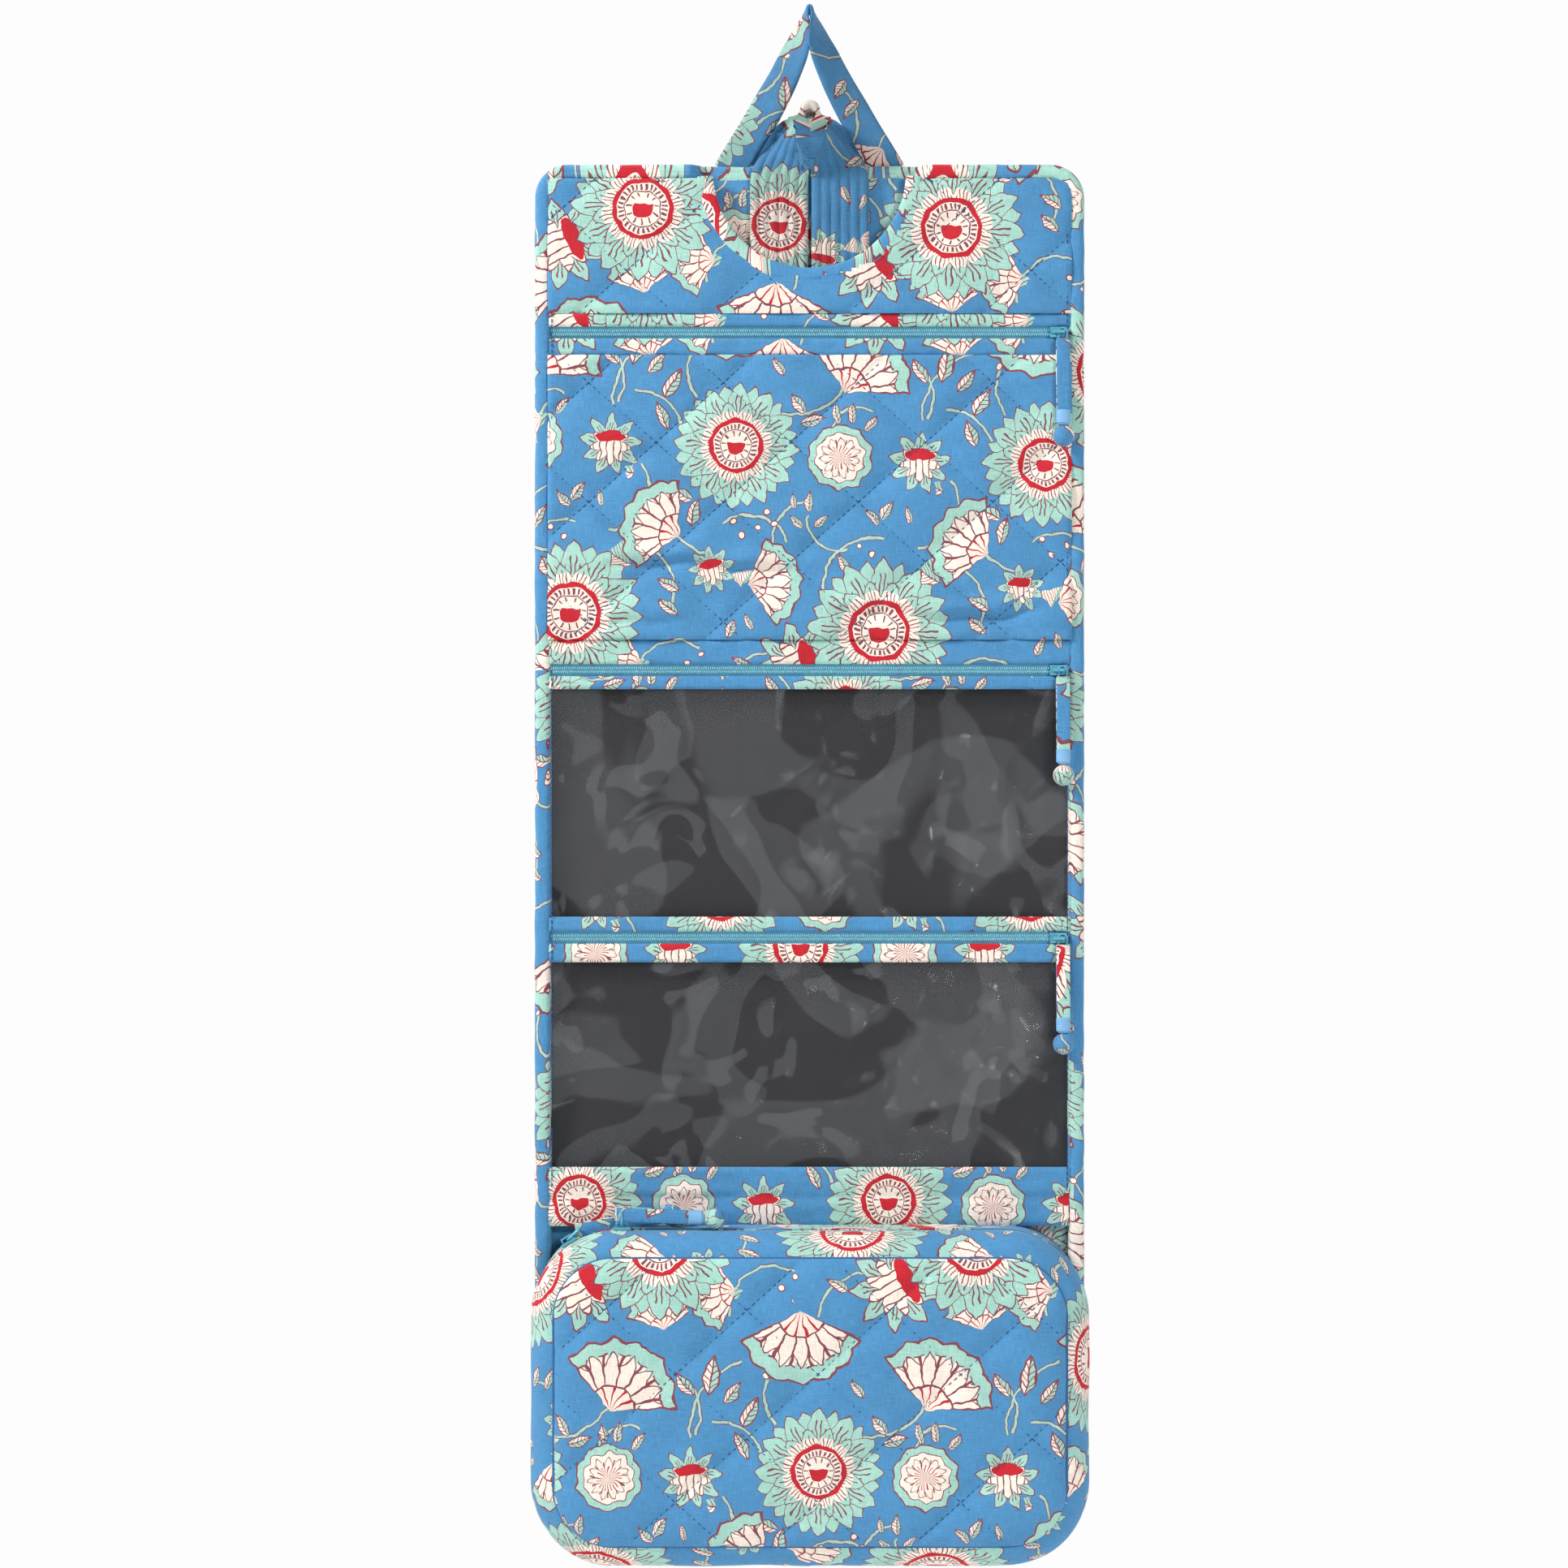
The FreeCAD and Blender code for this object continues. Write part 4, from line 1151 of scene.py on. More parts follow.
    def build_stitches(self) -> None:
        """Sews the bindings down along their inner edge."""
        inner = L.half_inside - 0.0012
        lines = (("top", -0.336, -0.112, Body.TOP), ("middle", -0.579, -0.350, Body.MIDDLE),
                 ("spine", -0.625, -0.593, Body.SPINE))
        for part, low, high, body in lines:
            places = []
            for sign in (-1, 1):
                count = int((high - low) / EDGE_PITCH)
                for number in range(count):
                    height = low + EDGE_PITCH * (number + 0.5)
                    places.append((Vector((sign * inner, self.stitch_face, height)), Vector((0, 0, 1))))
            if part == "top":
                for number in range(-38, 39):
                    x = number * EDGE_PITCH
                    if abs(x) > self.notch_half + 0.002:
                        places.append((Vector((x, self.stitch_face, L.top_edge - 0.0094)), Vector((1, 0, 0))))
            settle(stitches(f"binding_stitches_{part}", places, STITCH), body, "printed_cotton")


def quilting_places(
    quilting: Quilting,
    box: tuple[float, float, float, float],
    face: float,
    relief: Relief,
    sewn: Callable[[float, float], bool],
) -> list[tuple[Vector, Vector]]:
    """Lays the stitches of a quilted panel on its puffed face.

    Args:
        quilting: the panel's diamonds.
        box: lowest x and z, then highest x and z.
        face: the panel's flat depth.
        relief: how far its puff stands forward.
        sewn: says whether a stitch is made at a place.

    Returns:
        The place and the direction of every stitch.
    """
    places = []
    for x, z, turn in quilting.stitch_places(box, QUILT_PITCH):
        if sewn(x, z):
            place = Vector((x, face - relief(x, z) - STITCH_PROUD, z))
            places.append((place, Vector((math.cos(turn), 0, math.sin(turn)))))
    return places


@dataclass
class FrontPanels:
    """The printed cloth on the front: the cut-out pocket, the bands and the quilted zip pocket."""

    slip_quilting: Quilting = Quilting(shift_x=0.010, shift_z=-0.110, puff=0.0022)
    pocket_quilting: Quilting = Quilting(shift_x=-0.010, shift_z=-0.232)
    hole: float = 0.0565

    def slip_relief(self, x: float, z: float) -> float:
        """Returns the puff of the cut-out pocket."""
        return self.slip_quilting.height(x, z) + 0.0009 * ripple(x, z, 0.022, 0.012, 1.0)

    def pocket_relief(self, x: float, z: float) -> float:
        """Returns the puff of the zip pocket, with the sag creases near its foot."""
        total = self.pocket_quilting.height(x, z) + 0.0010 * ripple(x, z, 0.026, 0.011, 2.0)
        for at, start, end, deep in ((-0.2975, -0.112, -0.003, 0.0027), (-0.323, 0.010, 0.128, 0.0027),
                                     (-0.3285, -0.125, -0.060, 0.0016)):
            along = min(x - start, end - x) / 0.02
            if along > 0:
                fade = min(1.0, along)
                sway = at + 0.0022 * math.sin(x * 60) + 0.0012 * math.sin(x * 173)
                away = (z - sway) / 0.0026
                total -= deep * fade * math.exp(-away * away)
                lip = (z - sway - 0.006) / 0.005
                total += 0.8 * deep * fade * math.exp(-lip * lip)
        return total

    def band_relief(self, x: float, z: float) -> float:
        """Returns the small puckers of a narrow folded band."""
        return 0.00035 * ripple(x, z, 0.010, 0.006, 4.0) + 0.0002 * ripple(x, z, 0.004, 0.02, 6.0)

    def wide(self, name: str, low: float, high: float, relief: Relief, cut: Cut, step: float = 0.002,
             roll: float = 0.0009, keep: Callable[[float, float], bool] | None = None) -> bpy.types.Object:
        """Builds one panel that runs from binding to binding."""
        half = L.half_inside + 0.001
        return Panel(name, -half, half, low, high, L.panel_face, 0.0022, relief, cut, step, roll,
                     keep=keep).build()

    def build(self) -> None:
        """Builds every printed front panel."""
        inner = Panel("inner_panel", -0.080, 0.080, -0.163, -0.0868, L.inner_face, 0.0011,
                      lambda x, z: 0.0004 * ripple(x, z, 0.02, 0.02, 9.0), Cut(0.068, -0.122)).build()
        settle(inner, Body.TOP, "printed_cotton", "inner_panel_top")
        low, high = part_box("slip_pocket_front")
        slip = self.wide("slip_pocket", low.z, high.z, self.slip_relief, Cut(0.0, -0.0215, 3.7),
                         keep=lambda x, z: math.hypot(x, z - L.cutout_centre) > self.hole)
        settle(slip, Body.TOP, "printed_cotton", "slip_pocket_front")
        places = quilting_places(self.slip_quilting, (-0.135, low.z + 0.002, 0.135, high.z), L.panel_face,
                                 self.slip_relief, lambda x, z: math.hypot(x, z - L.cutout_centre) > 0.060)
        settle(stitches("slip_pocket_quilting", places, STITCH), Body.TOP, "printed_cotton")
        arc = []
        for turn in range(183, 358, 2):
            outward = Vector((math.cos(math.radians(turn)), 0, math.sin(math.radians(turn))))
            radius = L.cutout_radius + 0.004 + 0.0003 * ripple(turn * 0.002, 0.0, 0.02, 0.02, 3.0)
            arc.append((Vector((0, -0.0119, L.cutout_centre)) + outward * radius, outward, Vector((0, 1, 0))))
        settle(tube("cutout_edge", arc, rounded_outline(0.0042, 0.0019, 2.8), 20, Cut(0.02, -0.02)),
               Body.TOP, "printed_cotton", "cutout_binding")
        for number, cut in ((1, Cut(-0.005, -0.05)), (3, Cut(-0.047, -0.47))):
            for side in ("upper", "lower"):
                node = f"zip_band_{number}_{side}"
                low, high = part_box(node)
                own = Cut(-0.0047, -0.498) if node == "zip_band_3_lower" else cut
                body = Body.TOP if number == 1 else Body.MIDDLE
                settle(self.wide(f"band_{number}_{side}", low.z, high.z, self.band_relief, own, 0.0012), body,
                       "printed_cotton", node)
        low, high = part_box("zip_band_2_lower")
        band = self.wide("band_2_lower", low.z, high.z, self.band_relief, Cut(0.02, -0.375), 0.0012)
        settle(band, Body.MIDDLE, "printed_cotton", "zip_band_2_lower")
        low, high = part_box("quilted_pocket_front")
        pocket = self.wide("quilted_pocket", low.z, high.z, self.pocket_relief, Cut(-0.0387, -0.234, 3.4),
                           0.0016)
        settle(pocket, Body.TOP, "printed_cotton", "quilted_pocket_front")
        places = quilting_places(self.pocket_quilting, (-0.135, low.z + 0.003, 0.135, high.z - 0.003),
                                 L.panel_face, self.pocket_relief, lambda _x, _z: True)
        settle(stitches("pocket_quilting", places, STITCH), Body.TOP, "printed_cotton")
        band_low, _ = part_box("zip_band_2_upper")
        fold = self.wide("fold_band", band_low.z, low.z, self.band_relief, Cut(-0.0387, -0.234, 3.4), 0.0012)
        bend(fold, Body.TOP, Body.MIDDLE, *MIDDLE_BEND, "printed_cotton",
             "pocket_foot_top", "zip_band_2_upper")
        strip = self.wide("printed_strip_panel", -0.645, -0.6140, self.strip_relief, Cut(0.0417, -0.632),
                          0.0016)
        bend(strip, Body.SPINE, Body.POUCH, *POUCH_BEND, "printed_cotton",
             "printed_strip")

    def strip_relief(self, x: float, z: float) -> float:
        """Returns the puckers and the shallow fold line of the printed strip."""
        fold = (z + 0.630) / 0.002
        return 0.0008 * ripple(x, z, 0.030, 0.007, 7.0) - 0.0009 * math.exp(-fold * fold)


@dataclass
class ClearPockets:
    """The clear windows over their dark lining."""

    film: float = 0.0005
    face: float = -0.0110

    def buckle(self, x: float, z: float, low: float, high: float) -> float:
        """Returns the slow buckles of a window that is held at its edges."""
        edge = min(x + L.half_inside, L.half_inside - x, z - low, high - z)
        free = min(1.0, max(0.0, edge / 0.020))
        free = free * free * (3 - 2 * free)
        broad = ripple(x, z, 0.050, 0.040, 11.0)
        right = min(1.0, max(0.12, (x + 0.07) / 0.10))
        sharp = max(0.0, 1 - 3.0 * abs(ripple(x + 0.2 + z * 0.4, z, 0.045, 0.060, 12.0))) ** 2
        fine = max(0.0, 1 - 3.2 * abs(ripple(x + 0.5 - z * 0.3, z, 0.020, 0.024, 14.0))) ** 2
        small = ripple(x, z, 0.014, 0.017, 13.0)
        return free * (0.0026 * broad + right * (0.0034 * sharp + 0.0016 * fine + 0.0012 * small))

    def first(self, x: float, z: float) -> float:
        """Returns the upper window's shape."""
        return self.buckle(x, z, -0.482, -0.362)

    def second(self, x: float, z: float) -> float:
        """Returns the lower window's shape, creased where the bag folds."""
        crease = (z + 0.586 + 0.001 * math.sin(x * 50)) / 0.0022
        held = min(1.0, abs(z + 0.586) / 0.012)
        return self.buckle(x, z, -0.614, -0.506) * held - 0.0009 * math.exp(-crease * crease)

    def lining_relief(self, x: float, z: float) -> float:
        """Returns the slack of the lining cloth."""
        return 0.0011 * ripple(x, z, 0.045, 0.035, 21.0) + 0.0005 * ripple(x, z, 0.012, 0.016, 22.0)

    def build(self) -> None:
        """Builds both windows and both linings."""
        half = L.half_inside + 0.001
        upper = Panel("window_upper", -half, half, -0.4825, -0.3615, self.face, self.film, self.first, Cut(),
                      0.0016, 0.0, FILM).build()
        settle(upper, Body.MIDDLE, "clear_vinyl", "clear_window_1")
        lower = Panel("window_lower", -half, half, -0.6145, -0.5055, self.face, self.film, self.second, Cut(),
                      0.0016, 0.0, FILM).build()
        bend(lower, Body.MIDDLE, Body.SPINE, *SPINE_BEND, "clear_vinyl",
             "clear_window_2", "clear_window_2_foot")
        lining = Panel("dark_lining", -half, half, -0.6318, -0.3532, -0.0052, 0.0011, self.lining_relief,
                       Cut(), 0.003, 0.0, LINING).build()
        bend(lining, Body.MIDDLE, Body.SPINE, *SPINE_BEND, "black_lining",
             "lining_middle", "lining_spine")


@dataclass
class CoilZip:
    """The two rows of coil of one straight zip, with the cord that sews each row to its tape."""

    number: int
    height: float
    body: Body
    half_length: float = 0.1365
    pitch: float = 0.00115

    def tooth(self, middle: Vector, run: Vector, out: Vector, side: float) -> Matrix:
        """Returns the placing of one turn of the coil, leaning along the zip."""
        across = run.cross(out).normalized()
        lean = (across * side + run * 0.28).normalized()
        third = out.cross(lean).normalized()
        turn = Matrix((lean, third, out)).transposed().to_4x4()
        shape = Matrix.Diagonal((0.00112, 0.00042, 0.00064, 1))
        return Matrix.Translation(middle + across * side * 0.00104) @ turn @ shape

    def rows(self, name: str, placings: list[Matrix]) -> bpy.types.Object:
        """Builds the coil from its turns' placings."""
        template = bmesh.new()
        bmesh.ops.create_uvsphere(template, u_segments=6, v_segments=4, radius=1.0)
        return repeated(name, template, placings, COIL)

    def build(self) -> None:
        """Builds both rows."""
        placings = []
        count = int(2 * self.half_length / self.pitch)
        for number in range(count):
            x = -self.half_length + self.pitch * (number + 0.5)
            for side in (-1.0, 1.0):
                middle = Vector((x + side * self.pitch / 4, -0.01105, self.height))
                placings.append(self.tooth(middle, Vector((1, 0, 0)), Vector((0, -1, 0)), side))
        settle(self.rows(f"coil_{self.number}", placings), self.body, "zip_coil", f"zip_{self.number}_coil")
        bed = Panel(f"coil_bed_{self.number}", -self.half_length, self.half_length, self.height - 0.0012,
                    self.height + 0.0012, -0.0106, 0.0003, lambda x, z: 0.0, Cut(), 0.0012, 0.0, COIL).build()
        settle(bed, self.body, "zip_coil")


@dataclass
class Pull:
    """A zip pull: a strip of print folded through the ring, a thread wrap and a covered bead."""

    number: int
    start: Vector
    bead: Vector
    front: Vector
    width: float = 0.0066
    strip_length: float = 0.0390
    wrap_length: float = 0.0080
    bead_radius: float = 0.00565

    def frame(self) -> Matrix:
        """Returns the placing of the pull: x across, y back and z up along it."""
        up = (self.start - self.bead).normalized()
        back = (-self.front - up * (-self.front).dot(up)).normalized()
        across = back.cross(up).normalized()
        placing = Matrix((across, back, up)).transposed().to_4x4()
        return Matrix.Translation(self.start) @ placing

    def strip(self) -> bpy.types.Object:
        """Builds the folded strip."""
        length = self.strip_length
        sides = [(-0.0008, -length), (-0.0012, -length * 0.75), (-0.0015, -length * 0.45),
                 (-0.0014, -length * 0.15),
                 (-0.0012, -0.0012), (-0.0007, 0.0000)]
        back = [(-y * 0.8, z) for y, z in reversed(sides)]
        controls = [(0.0, y, z) for y, z in sides] + [(0.0, 0.0, 0.0003)] + [(0.0, y, z) for y, z in back]
        path = smooth_path(controls, 60)
        edge = 0.0009

        def place(u: float, v: float) -> Vector:
            """Returns where a point of the cloth lies."""
            _, y, z = path[min(60, round(v * 60))]
            curl = edge_roll(min(u, 1 - u) * self.width, edge, 0.0003)
            side = -1 if v < 0.5 else 1
            narrow = 1 - 0.12 * max(0.0, -z / length - 0.7)
            return Vector(((u - 0.5) * self.width * narrow, y - side * curl, z))

        seed = self.number * 0.031
        bm = cloth(8, 60, place, lambda u, v: (seed + u * self.width, seed + v * 2 * length))
        thicken(bm, -0.0007)
        return finish_mesh(f"pull_{self.number}_strip", bm, COTTON)

    def wrap(self) -> bpy.types.Object:
        """Builds the thread wound round the strip, with the short neck below it."""
        rows = 64
        top = -self.strip_length + 0.0016
        bottom = top - self.wrap_length
        path = []
        for number in range(rows + 1):
            part = number / rows
            ridge = 1 + 0.07 * abs(math.sin(part * math.pi * 9))
            taper = 1 - 0.45 * max(0.0, part - 0.82) / 0.18
            path.append((Vector((0, 0, top + (bottom - top) * part)), Vector((ridge * taper, 0, 0)),
                         Vector((0, ridge * taper, 0))))
        return tube(f"pull_{self.number}_wrap", path, rounded_outline(0.0036, 0.0025, 2.4), 22, Cut(), WRAP)

    def ball(self) -> bpy.types.Object:
        """Builds the bead, its cover pleated towards both poles."""
        bm = bmesh.new()
        bmesh.ops.create_uvsphere(bm, u_segments=40, v_segments=24, radius=self.bead_radius)
        layer = bm.loops.layers.uv.new("UVMap")
        seed = self.number * 0.047
        for face in bm.faces:
            for loop in face.loops:
                spot = loop.vert.co
                turn = math.atan2(spot.y, spot.x)
                loop[layer].uv = (seed + turn * self.bead_radius, seed + spot.z * 1.3)
        for vert in bm.verts:
            turn = math.atan2(vert.co.y, vert.co.x)
            pole = abs(vert.co.z) / self.bead_radius
            gathers = 0.045 * pole * pole * (0.5 + 0.5 * math.cos(turn * 9))
            vert.co *= 1 - gathers - 0.02 * abs(math.sin(turn * 1.5))
            vert.co.z -= math.dist((0, 0, 0), self.start - self.bead)
        return finish_mesh(f"pull_{self.number}_ball", bm, COTTON, 70)

    def build(self) -> None:
        """Builds the pull in place."""
        placing = self.frame()
        body = pull_body(self.number)
        for made, slot, nodes in ((self.strip(), "printed_cotton", (f"pull_{self.number}_tab",)),
                                  (self.wrap(), "wrap_thread", ()),
                                  (self.ball(), "bead_cloth", (f"pull_{self.number}_bead",))):
            made.data.transform(placing)
            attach(made, body)
            "bead_cloth" if slot == "wrap_thread" else slot
            if nodes:
                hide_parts(*nodes)


def pull_body(number: int) -> str:
    """Returns the name of a pull's body."""
    return f"pull_{number}"


@dataclass
class Straps:
    """The hanging loop and the carry handle."""

    loop_width: float = 0.018
    loop_thickness: float = 0.0019
    handle_width: float = 0.0306
    handle_thickness: float = 0.0028
    handle_plane: float = -0.0082
    handle_lean: float = 0.010

    def strap(self, name: str, controls: list[tuple[float, float, float, float]],
              width: float, thickness: float, rows: int, columns: int,
              ridges: int, cut: Cut, level: bool = False) -> bpy.types.Object:
        """Builds a flat strap along its middle line.

        Args:
            name: the piece's name.
            controls: points as x, y, z and turn; the strap's width lies front to back at 0 degrees
                and across the line at 90.
            width: the strap's width.
            thickness: its thickness.
            rows: faces along.
            columns: faces across.
            ridges: padded channels along the strap; 1 is a plain crowned strap.
            cut: where the strap was cut from the cloth.
            level: keeps the strap's width level instead of square to its line.

        Returns:
            The new object.
        """
        path = smooth_path(controls, rows)
        runs = [0.0]
        for before, after in zip(path, path[1:]):
            runs.append(runs[-1] + math.dist(before[:3], after[:3]))

        def frame_at(row: int) -> tuple[Vector, Vector, Vector]:
            """Returns the centre, the direction across and the direction out at a row."""
            x, y, z, turn = path[row]
            before, after = path[max(row - 1, 0)], path[min(row + 1, rows)]
            run = Vector(after[:3]) - Vector(before[:3])
            run = Vector((run.x, 0, run.z)).normalized()
            normal = Vector((-math.copysign(1, run.z), 0, 0)) if level else Vector((-run.z, 0, run.x))
            angle = math.radians(max(0.0, turn))
            across = (Vector((0, 1, 0)) * math.cos(angle) + normal * math.sin(angle)).normalized()
            return Vector((x, y, z)), across, run.cross(across).normalized()

        frames = [frame_at(row) for row in range(rows + 1)]

        def place(u: float, v: float) -> Vector:
            """Returns where a point of the cloth lies."""
            centre, across, out = frames[min(rows, round(v * rows))]
            side = (u - 0.5) * width
            crown = 0.0004 if ridges == 1 else 0.0009
            swell = crown * abs(math.sin(math.pi * u * ridges)) ** 0.6
            swell -= edge_roll(min(u, 1 - u) * width, 0.0014, 0.0007)
            swell += 0.0002 * ripple(u * width, runs[min(rows, round(v * rows))], 0.004, 0.009, 2.5)
            return centre + across * side + out * (thickness / 2 + swell)

        bm = cloth(columns, rows, place,
                   lambda u, v: cut.map((u - 0.5) * width, runs[min(rows, round(v * rows))]))
        made = bmesh.ops.extrude_face_region(bm, geom=bm.faces[:], use_keep_orig=True)
        for vert in made["geom"]:
            if isinstance(vert, bmesh.types.BMVert):
                nearest = min(frames, key=lambda f: (f[0] - vert.co).length_squared)
                centre, _, out = nearest
                vert.co -= out * (2 * (vert.co - centre).dot(out))
        # the straps wear the darker copy of the cotton, which paints shade on them
        return finish_mesh(name, bm, COTTON_SHADED, 65)

    def mirrored(self, half: list[tuple[float, float, float, float]]) \
            -> list[tuple[float, float, float, float]]:
        """Returns a whole line from its left half, whose last point is on the middle."""
        return half + [(-x, y, z, turn) for x, y, z, turn in reversed(half[:-1])]

    def build(self) -> None:
        """Builds both straps."""
        half = [(-0.0425, 0.0002, -0.0875, 90), (-0.0365, 0, -0.0775, 90), (-0.0295, 0, -0.0660, 86),
                (-0.0228, 0, -0.0540, 80), (-0.0176, 0, -0.0445, 72), (-0.0128, 0, -0.0350, 64),
                (-0.0074, 0, -0.0225, 54), (-0.0045, 0, -0.0125, 32), (-0.0025, 0, -0.0045, 10),
                (0, 0, -0.0008, 0)]
        loop = self.strap("loop_strap", self.mirrored(half), self.loop_width, self.loop_thickness, 96, 12, 1,
                          Cut(0.03, 0.02))
        bend(loop, Body.LOOP, Body.TOP, *LOOP_BEND, "printed_cotton",
             "hanging_loop")
        side = [(-0.0162, 90, 0.0885), (-0.0162, 90, 0.0765), (-0.0162, 90, 0.0655), (-0.0162, 90, 0.0480),
                (-0.0160, 90, 0.0345), (-0.0144, 86, 0.0275), (-0.0112, 70, 0.0205), (-0.0077, 36, 0.0120),
                (-0.0050, 10, 0.0055), (-0.0029, 1, 0.0014)]
        controls = [(x, self.handle_plane - self.handle_lean * (1 - turn / 90), -0.0585 - drop, turn)
                    for x, turn, drop in side]
        controls.append((0.0, self.handle_plane - self.handle_lean, -0.0583, 0))
        handle = self.strap("handle_strap", self.mirrored(controls), self.handle_width,
                            self.handle_thickness, 110, 30, 6, Cut(0.0, 0.03), level=True)
        bend(handle, Body.TOP, Body.HANDLE, *HANDLE_BEND, "printed_cotton",
             "carry_handle", "handle_base")


@dataclass
class Pouch:
    """The boxed pouch: a quilted front, a bulging gusset and its curved zip."""

    half: float = 0.145
    top: float = -0.6442
    bottom: float = -0.8180
    corner: float = 0.044
    seam_inset: float = 0.0125
    face: float = -0.0445
    gusset_back: float = -0.0040
    zip_front: float = -0.0330
    zip_back: float = -0.0270
    zip_end: float = -0.7002
    quilting: Quilting = Quilting(wide=0.0735, tall=0.0660, shift_x=0.004, shift_z=-0.716, puff=0.0028)

    def front_relief(self, x: float, z: float) -> float:
        """Returns the pillow of the quilted front, tightest at its seam."""
        inset = self.seam_inset
        across = min(1.0, (self.half - inset - abs(x)) / 0.030)
        down = min(1.0, min(self.top - inset - z, z - self.bottom - inset) / 0.030)
        dome = math.sqrt(max(0.0, across * (2 - across))) * math.sqrt(max(0.0, down * (2 - down)))
        quilt = self.quilting.height(x, z) * min(1.0, dome * 1.4)
        return 0.0030 * dome + quilt + 0.0010 * dome * ripple(x, z, 0.020, 0.016, 31.0)

    def outline(self, part: float) -> tuple[Vector, Vector]:
        """Returns the outline's point and outward direction at a part from 0 to 1, from the bottom middle."""
        straight_x = self.half - self.corner
        straight_z = (self.top - self.bottom) / 2 - self.corner
        quarter = math.pi * self.corner / 2
        legs = (straight_x, quarter, 2 * straight_z, quarter, 2 * straight_x, quarter, 2 * straight_z,
                quarter, straight_x)
        middle_z = (self.top + self.bottom) / 2
        run = part * sum(legs)
        starts = ((0, -1), None, (1, 0), None, (0, 1), None, (-1, 0), None, (0, -1))
        centres = ((straight_x, -straight_z), (straight_x, straight_z), (-straight_x, straight_z),
                   (-straight_x, -straight_z))
        for number, length in enumerate(legs):
            if run <= length or number == len(legs) - 1:
                break
            run -= length
        if number % 2:
            cx, cz = centres[number // 2]
            angle = math.radians(-90 + 90 * (number // 2)) + run / self.corner
            out = Vector((math.cos(angle), 0, math.sin(angle)))
            return Vector((cx, 0, middle_z + cz)) + out * self.corner, out
        out_x, out_z = starts[number]
        out = Vector((out_x, 0, out_z))
        if number == 0:
            return Vector((run, 0, self.bottom)), out
        if number == 8:
            return Vector((-straight_x + run, 0, self.bottom)), out
        if number == 4:
            return Vector((straight_x - run, 0, self.top)), out
        side = 1 if number == 2 else -1
        return Vector((side * self.half, 0, middle_z + side * (run - straight_z))), out

    def gusset_section(self, part: float) -> tuple[float, float]:
        """Returns y and the inset from the outline, at a part from the front seam to the back."""
        split = 0.40
        if part <= split:
            angle = part / split * math.pi / 2
            return self.face + (self.zip_front - self.face) * (1 - math.cos(angle)), \
                self.seam_inset * (1 - math.sin(angle))
        rest = (part - split) / (1 - split)
        return self.zip_front + (self.gusset_back - self.zip_front) * rest, 0.0

    def build(self) -> None:
        """Builds the front, the gusset, the seam cord and the curved coil."""
        inset = self.seam_inset
        width = rounded_half_width(self.half - inset, self.top - inset, self.bottom + inset,
                                   self.corner - inset, self.corner - inset)
        front = Panel("pouch_front", -self.half, self.half, self.bottom + inset, self.top - inset, self.face,
                      0.0022, self.front_relief, Cut(0.0043, -0.766), 0.0018, 0.0006,
                      half_width=width).build()
        settle(front, Body.POUCH, "printed_cotton", "pouch_front_panel")
        low_z, high_z = self.bottom + inset + 0.004, self.top - inset - 0.004
        places = quilting_places(self.quilting, (-0.130, low_z, 0.130, high_z), self.face, self.front_relief,
                                 lambda x, z: abs(x) < width(z) - 0.004)
        settle(stitches("pouch_quilting", places, STITCH), Body.POUCH, "printed_cotton")
        self.build_gusset()
        self.build_coil()

    def build_gusset(self) -> None:
        """Builds the wall round the pouch, open along the zip."""
        columns, rows = 420, 40
        perimeter = 0.82

        def place(u: float, v: float) -> Vector:
            """Returns where a point of the cloth lies."""
            point, out = self.outline(u)
            y, inset = self.gusset_section(v)
            swell = 0.0007 * ripple(u * perimeter, y, 0.030, 0.012, 41.0)
            return point + Vector((0, y, 0)) - out * (inset - swell * min(1.0, v * 4))

        def keep(u: float, v: float) -> bool:
            """Says whether a face is kept."""
            point, _ = self.outline(u)
            y, _ = self.gusset_section(v)
            return point.z < self.zip_end or not self.zip_front < y < self.zip_back

        def lay(u: float, v: float) -> tuple[float, float]:
            """Returns the place in the print."""
            y, inset = self.gusset_section(v)
            return u * perimeter + 0.018, 0.075 + (inset - y) * 1.1

        bm = cloth(columns, rows, place, lay, keep)
        bmesh.ops.remove_doubles(bm, verts=bm.verts[:], dist=0.00001)
        bm.normal_update()
        sample = max(bm.faces, key=lambda f: f.calc_center_median().z)
        sign = 1 if sample.normal.z > 0 else -1
        thicken(bm, 0.0018 * sign)
        wall = finish_mesh("pouch_gusset", bm, COTTON)
        settle(wall, Body.POUCH, "printed_cotton", "pouch_gusset_lower", "pouch_gusset_back",
               "pouch_gusset_front")
        cord = []
        count = 300
        for number in range(count + 1):
            point, out = self.outline(number / count)
            centre = point + Vector((0, self.face + 0.0004, 0)) - out * self.seam_inset
            cord.append((centre, out, Vector((0, 1, 0))))
        seam = tube("pouch_seam", cord, rounded_outline(0.0008, 0.0008, 2.0), 8, Cut(0.1, 0.1), SEAM)
        settle(seam, Body.POUCH, "printed_cotton")

    def build_coil(self) -> None:
        """Builds the two rows of coil that follow the top and both corners."""
        maker = CoilZip(4, 0.0, Body.POUCH)
        placings = []
        count = int(0.82 / maker.pitch)
        middle_y = (self.zip_front + self.zip_back) / 2
        for number in range(count):
            point, out = self.outline(number / count)
            if point.z < self.zip_end:
                continue
            ahead, _ = self.outline(min(1.0, (number + 0.5) / count))
            run = (ahead - point).normalized()
            centre = point + Vector((0, middle_y, 0)) - out * 0.0008
            for side in (-1.0, 1.0):
                placings.append(maker.tooth(centre + run * side * maker.pitch / 4, run, out, side))
        settle(maker.rows("pouch_coil", placings), Body.POUCH, "zip_coil", "pouch_zip_coil")


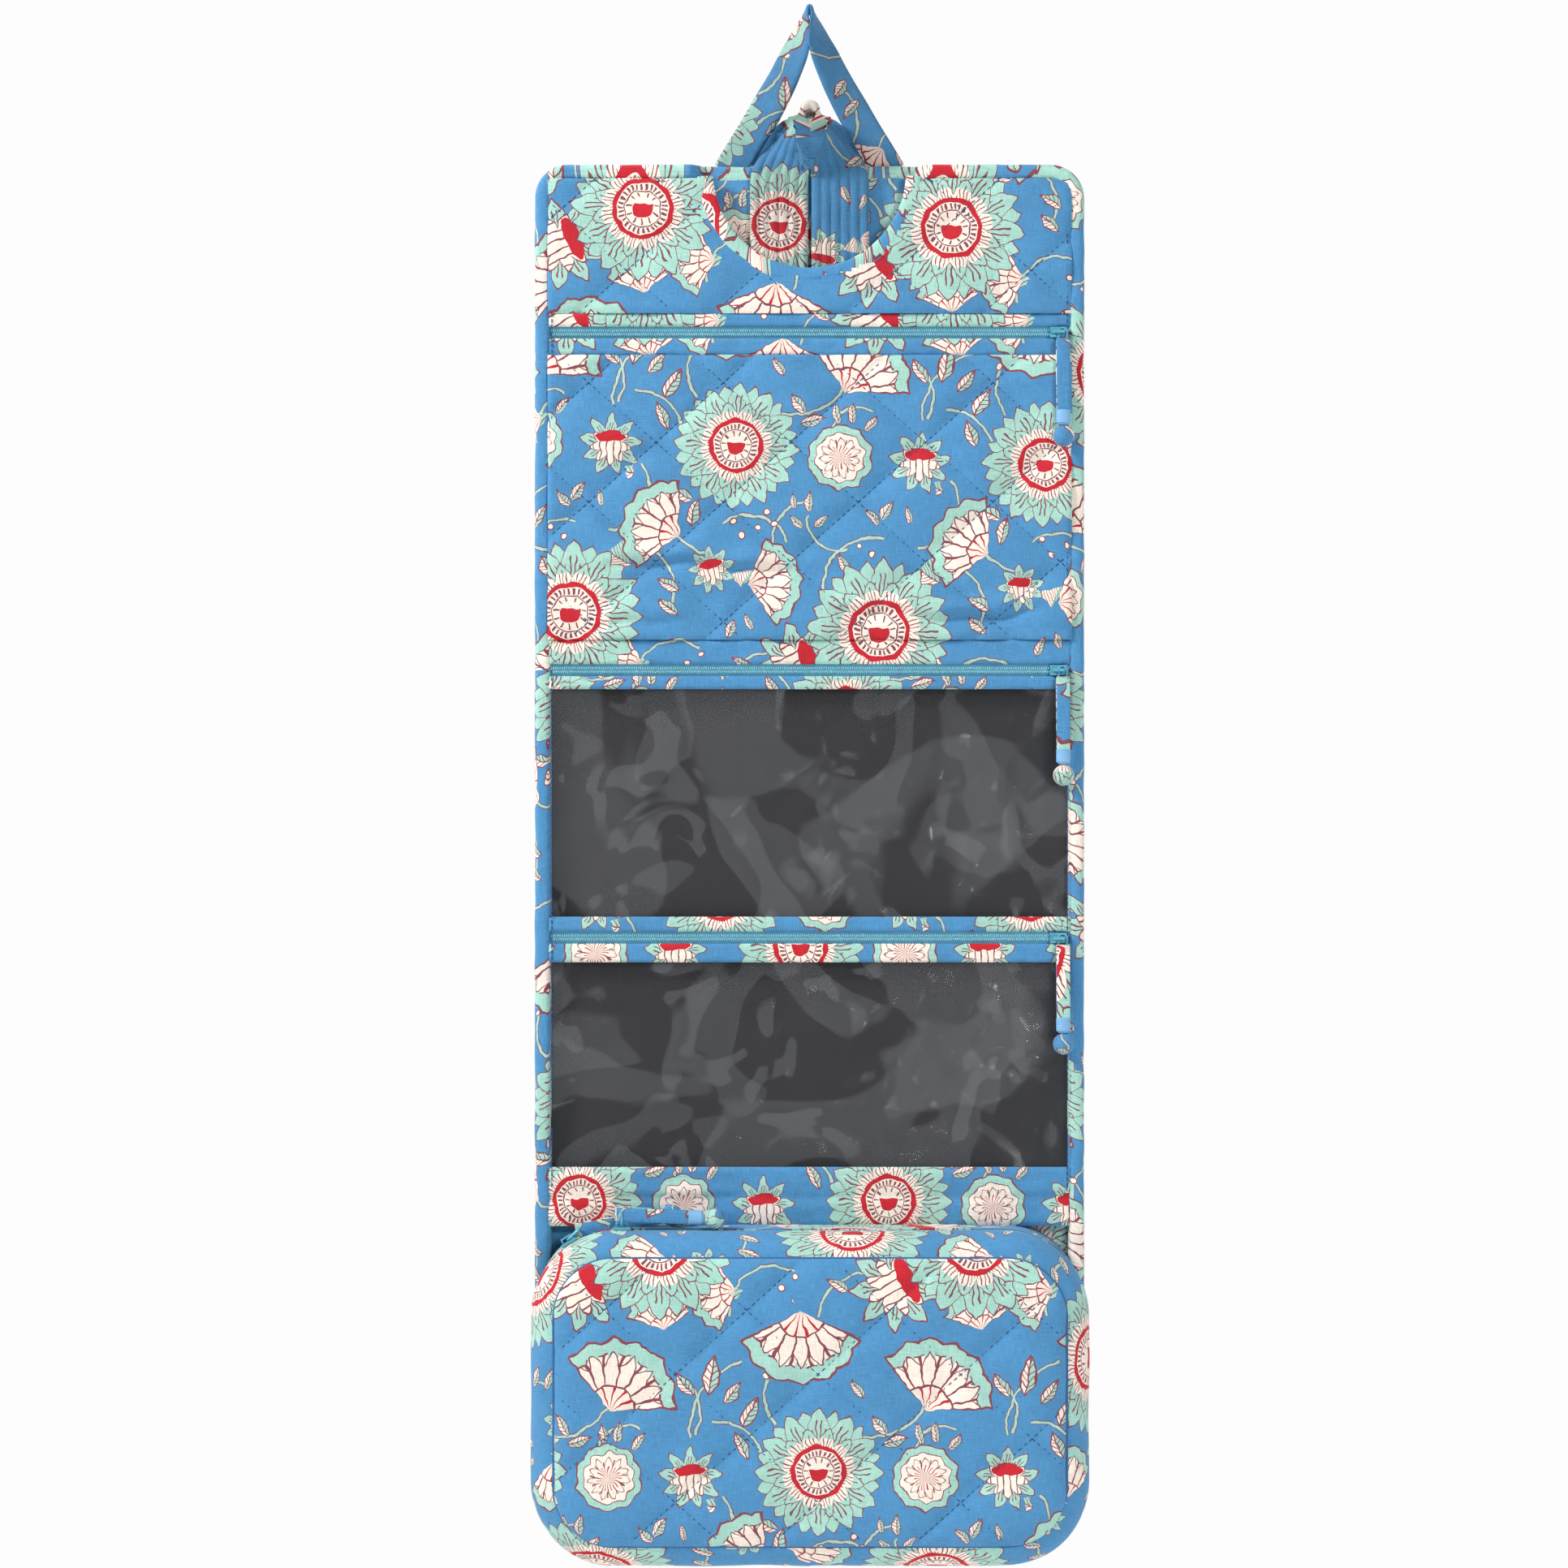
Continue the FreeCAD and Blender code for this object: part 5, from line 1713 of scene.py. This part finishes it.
@dataclass
class Studio:
    """A white studio: pale floor below the bag, soft light and the camera."""

    distance: float = 1.55
    eye: tuple[float, float] = (-0.0135, -0.412)
    lens: float = 67.0
    floor_height: float = -1.25

    def area(self, name: str, place: tuple[float, float, float], size: float, power: float) -> None:
        """Adds a soft square lamp that faces the bag's middle."""
        lamp = bpy.data.lights.new(name, "AREA")
        lamp.shape = "SQUARE"
        lamp.size = size
        lamp.energy = power
        made = bpy.data.objects.new(name, lamp)
        made.location = place
        made.rotation_euler = (Vector((0, 0, -0.40)) - Vector(place)).to_track_quat("-Z", "Y").to_euler()
        bpy.context.scene.collection.objects.link(made)

    def build(self) -> None:
        """Builds the studio."""
        bm = bmesh.new()
        bmesh.ops.create_circle(bm, cap_ends=True, segments=96, radius=1.3,
                                matrix=Matrix.Translation((0, 0, self.floor_height)))
        floor = finish_mesh("studio_floor", bm, Woven("studio_floor", 0.8, (0.85, 0.85, 0.85), 40, 0.02))
        world = bpy.data.worlds.new("studio")
        bpy.context.scene.world = world
        world.use_nodes = True
        background = world.node_tree.nodes["Background"]
        s = Sketch(world.node_tree)
        direction = s.node("ShaderNodeTexCoord").outputs["Generated"]
        toward = s.node("ShaderNodeSeparateXYZ", {0: direction}).outputs[1]
        level = s.math("MULTIPLY_ADD", s.math("MINIMUM", s.math("MAXIMUM", toward, -0.55), 0.2), 1.1, 0.76)
        world.node_tree.links.new(level, background.inputs[1])
        background.inputs[0].default_value = (1, 1, 1, 1)
        self.area("key", (-1.45, -0.72, 0.70), 0.45, 41)
        self.area("side", (0.80, -1.50, 0.22), 0.20, 10)
        self.area("low", (0.4, -1.6, -1.0), 0.40, 7)
        camera = bpy.data.cameras.new("camera")
        camera.lens = self.lens
        camera.sensor_width = 36
        made = bpy.data.objects.new("camera", camera)
        made.location = (self.eye[0], -self.distance, self.eye[1])
        made.rotation_euler = (math.radians(90), 0, 0)
        bpy.context.scene.collection.objects.link(made)
        bpy.context.scene.camera = made
        bpy.context.scene.view_settings.view_transform = "Standard"


def main() -> None:
    """Builds every piece of the bag round its CAD bodies."""
    logging.basicConfig(level=logging.INFO, format="%(message)s")
    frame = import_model()
    Studio().build()
    outer = OuterCloth()
    outer.build_backs()
    outer.build_bindings()
    outer.build_stitches()
    FrontPanels().build()
    ClearPockets().build()
    forward = Vector((0, -1, 0))
    for number, height, body in ((1, -0.174, Body.TOP), (2, -0.352, Body.MIDDLE), (3, -0.493, Body.MIDDLE)):
        CoilZip(number, height, body).build()
        ring = Vector((0.1331, -0.0144, height))
        start = ring + Vector((0, -0.0016, -0.0045))
        tilt = math.radians(3.5)
        end = start + Vector((0, -math.sin(tilt), -math.cos(tilt))) * PULL_RUN
        Pull(number, start, end, forward).build()
    Pull(4, Vector((-0.1005, -0.030, -0.63585)), Vector((-0.0495, -0.030, -0.6382)), forward).build()
    Pull(5, Vector((-0.1215, -0.026, -0.6449)), Vector((-0.0725, -0.0187, -0.6382)), forward).build()
    Straps().build()
    Pouch().build()
    dress_node(frame, ["zip_1_tapes", "zip_2_tapes", "zip_3_tapes", "pouch_zip_tapes"], TAPE)
    dress_node(frame, [f"slider_{number}" for number in range(1, 6)], SLIDER)
    dress_node(frame, [f"pull_{number}_ring" for number in range(1, 6)], SLIDER)
    dress_node(frame, ["loop_ends"], COTTON_FLAT)


if __name__ == "__main__":
    main()
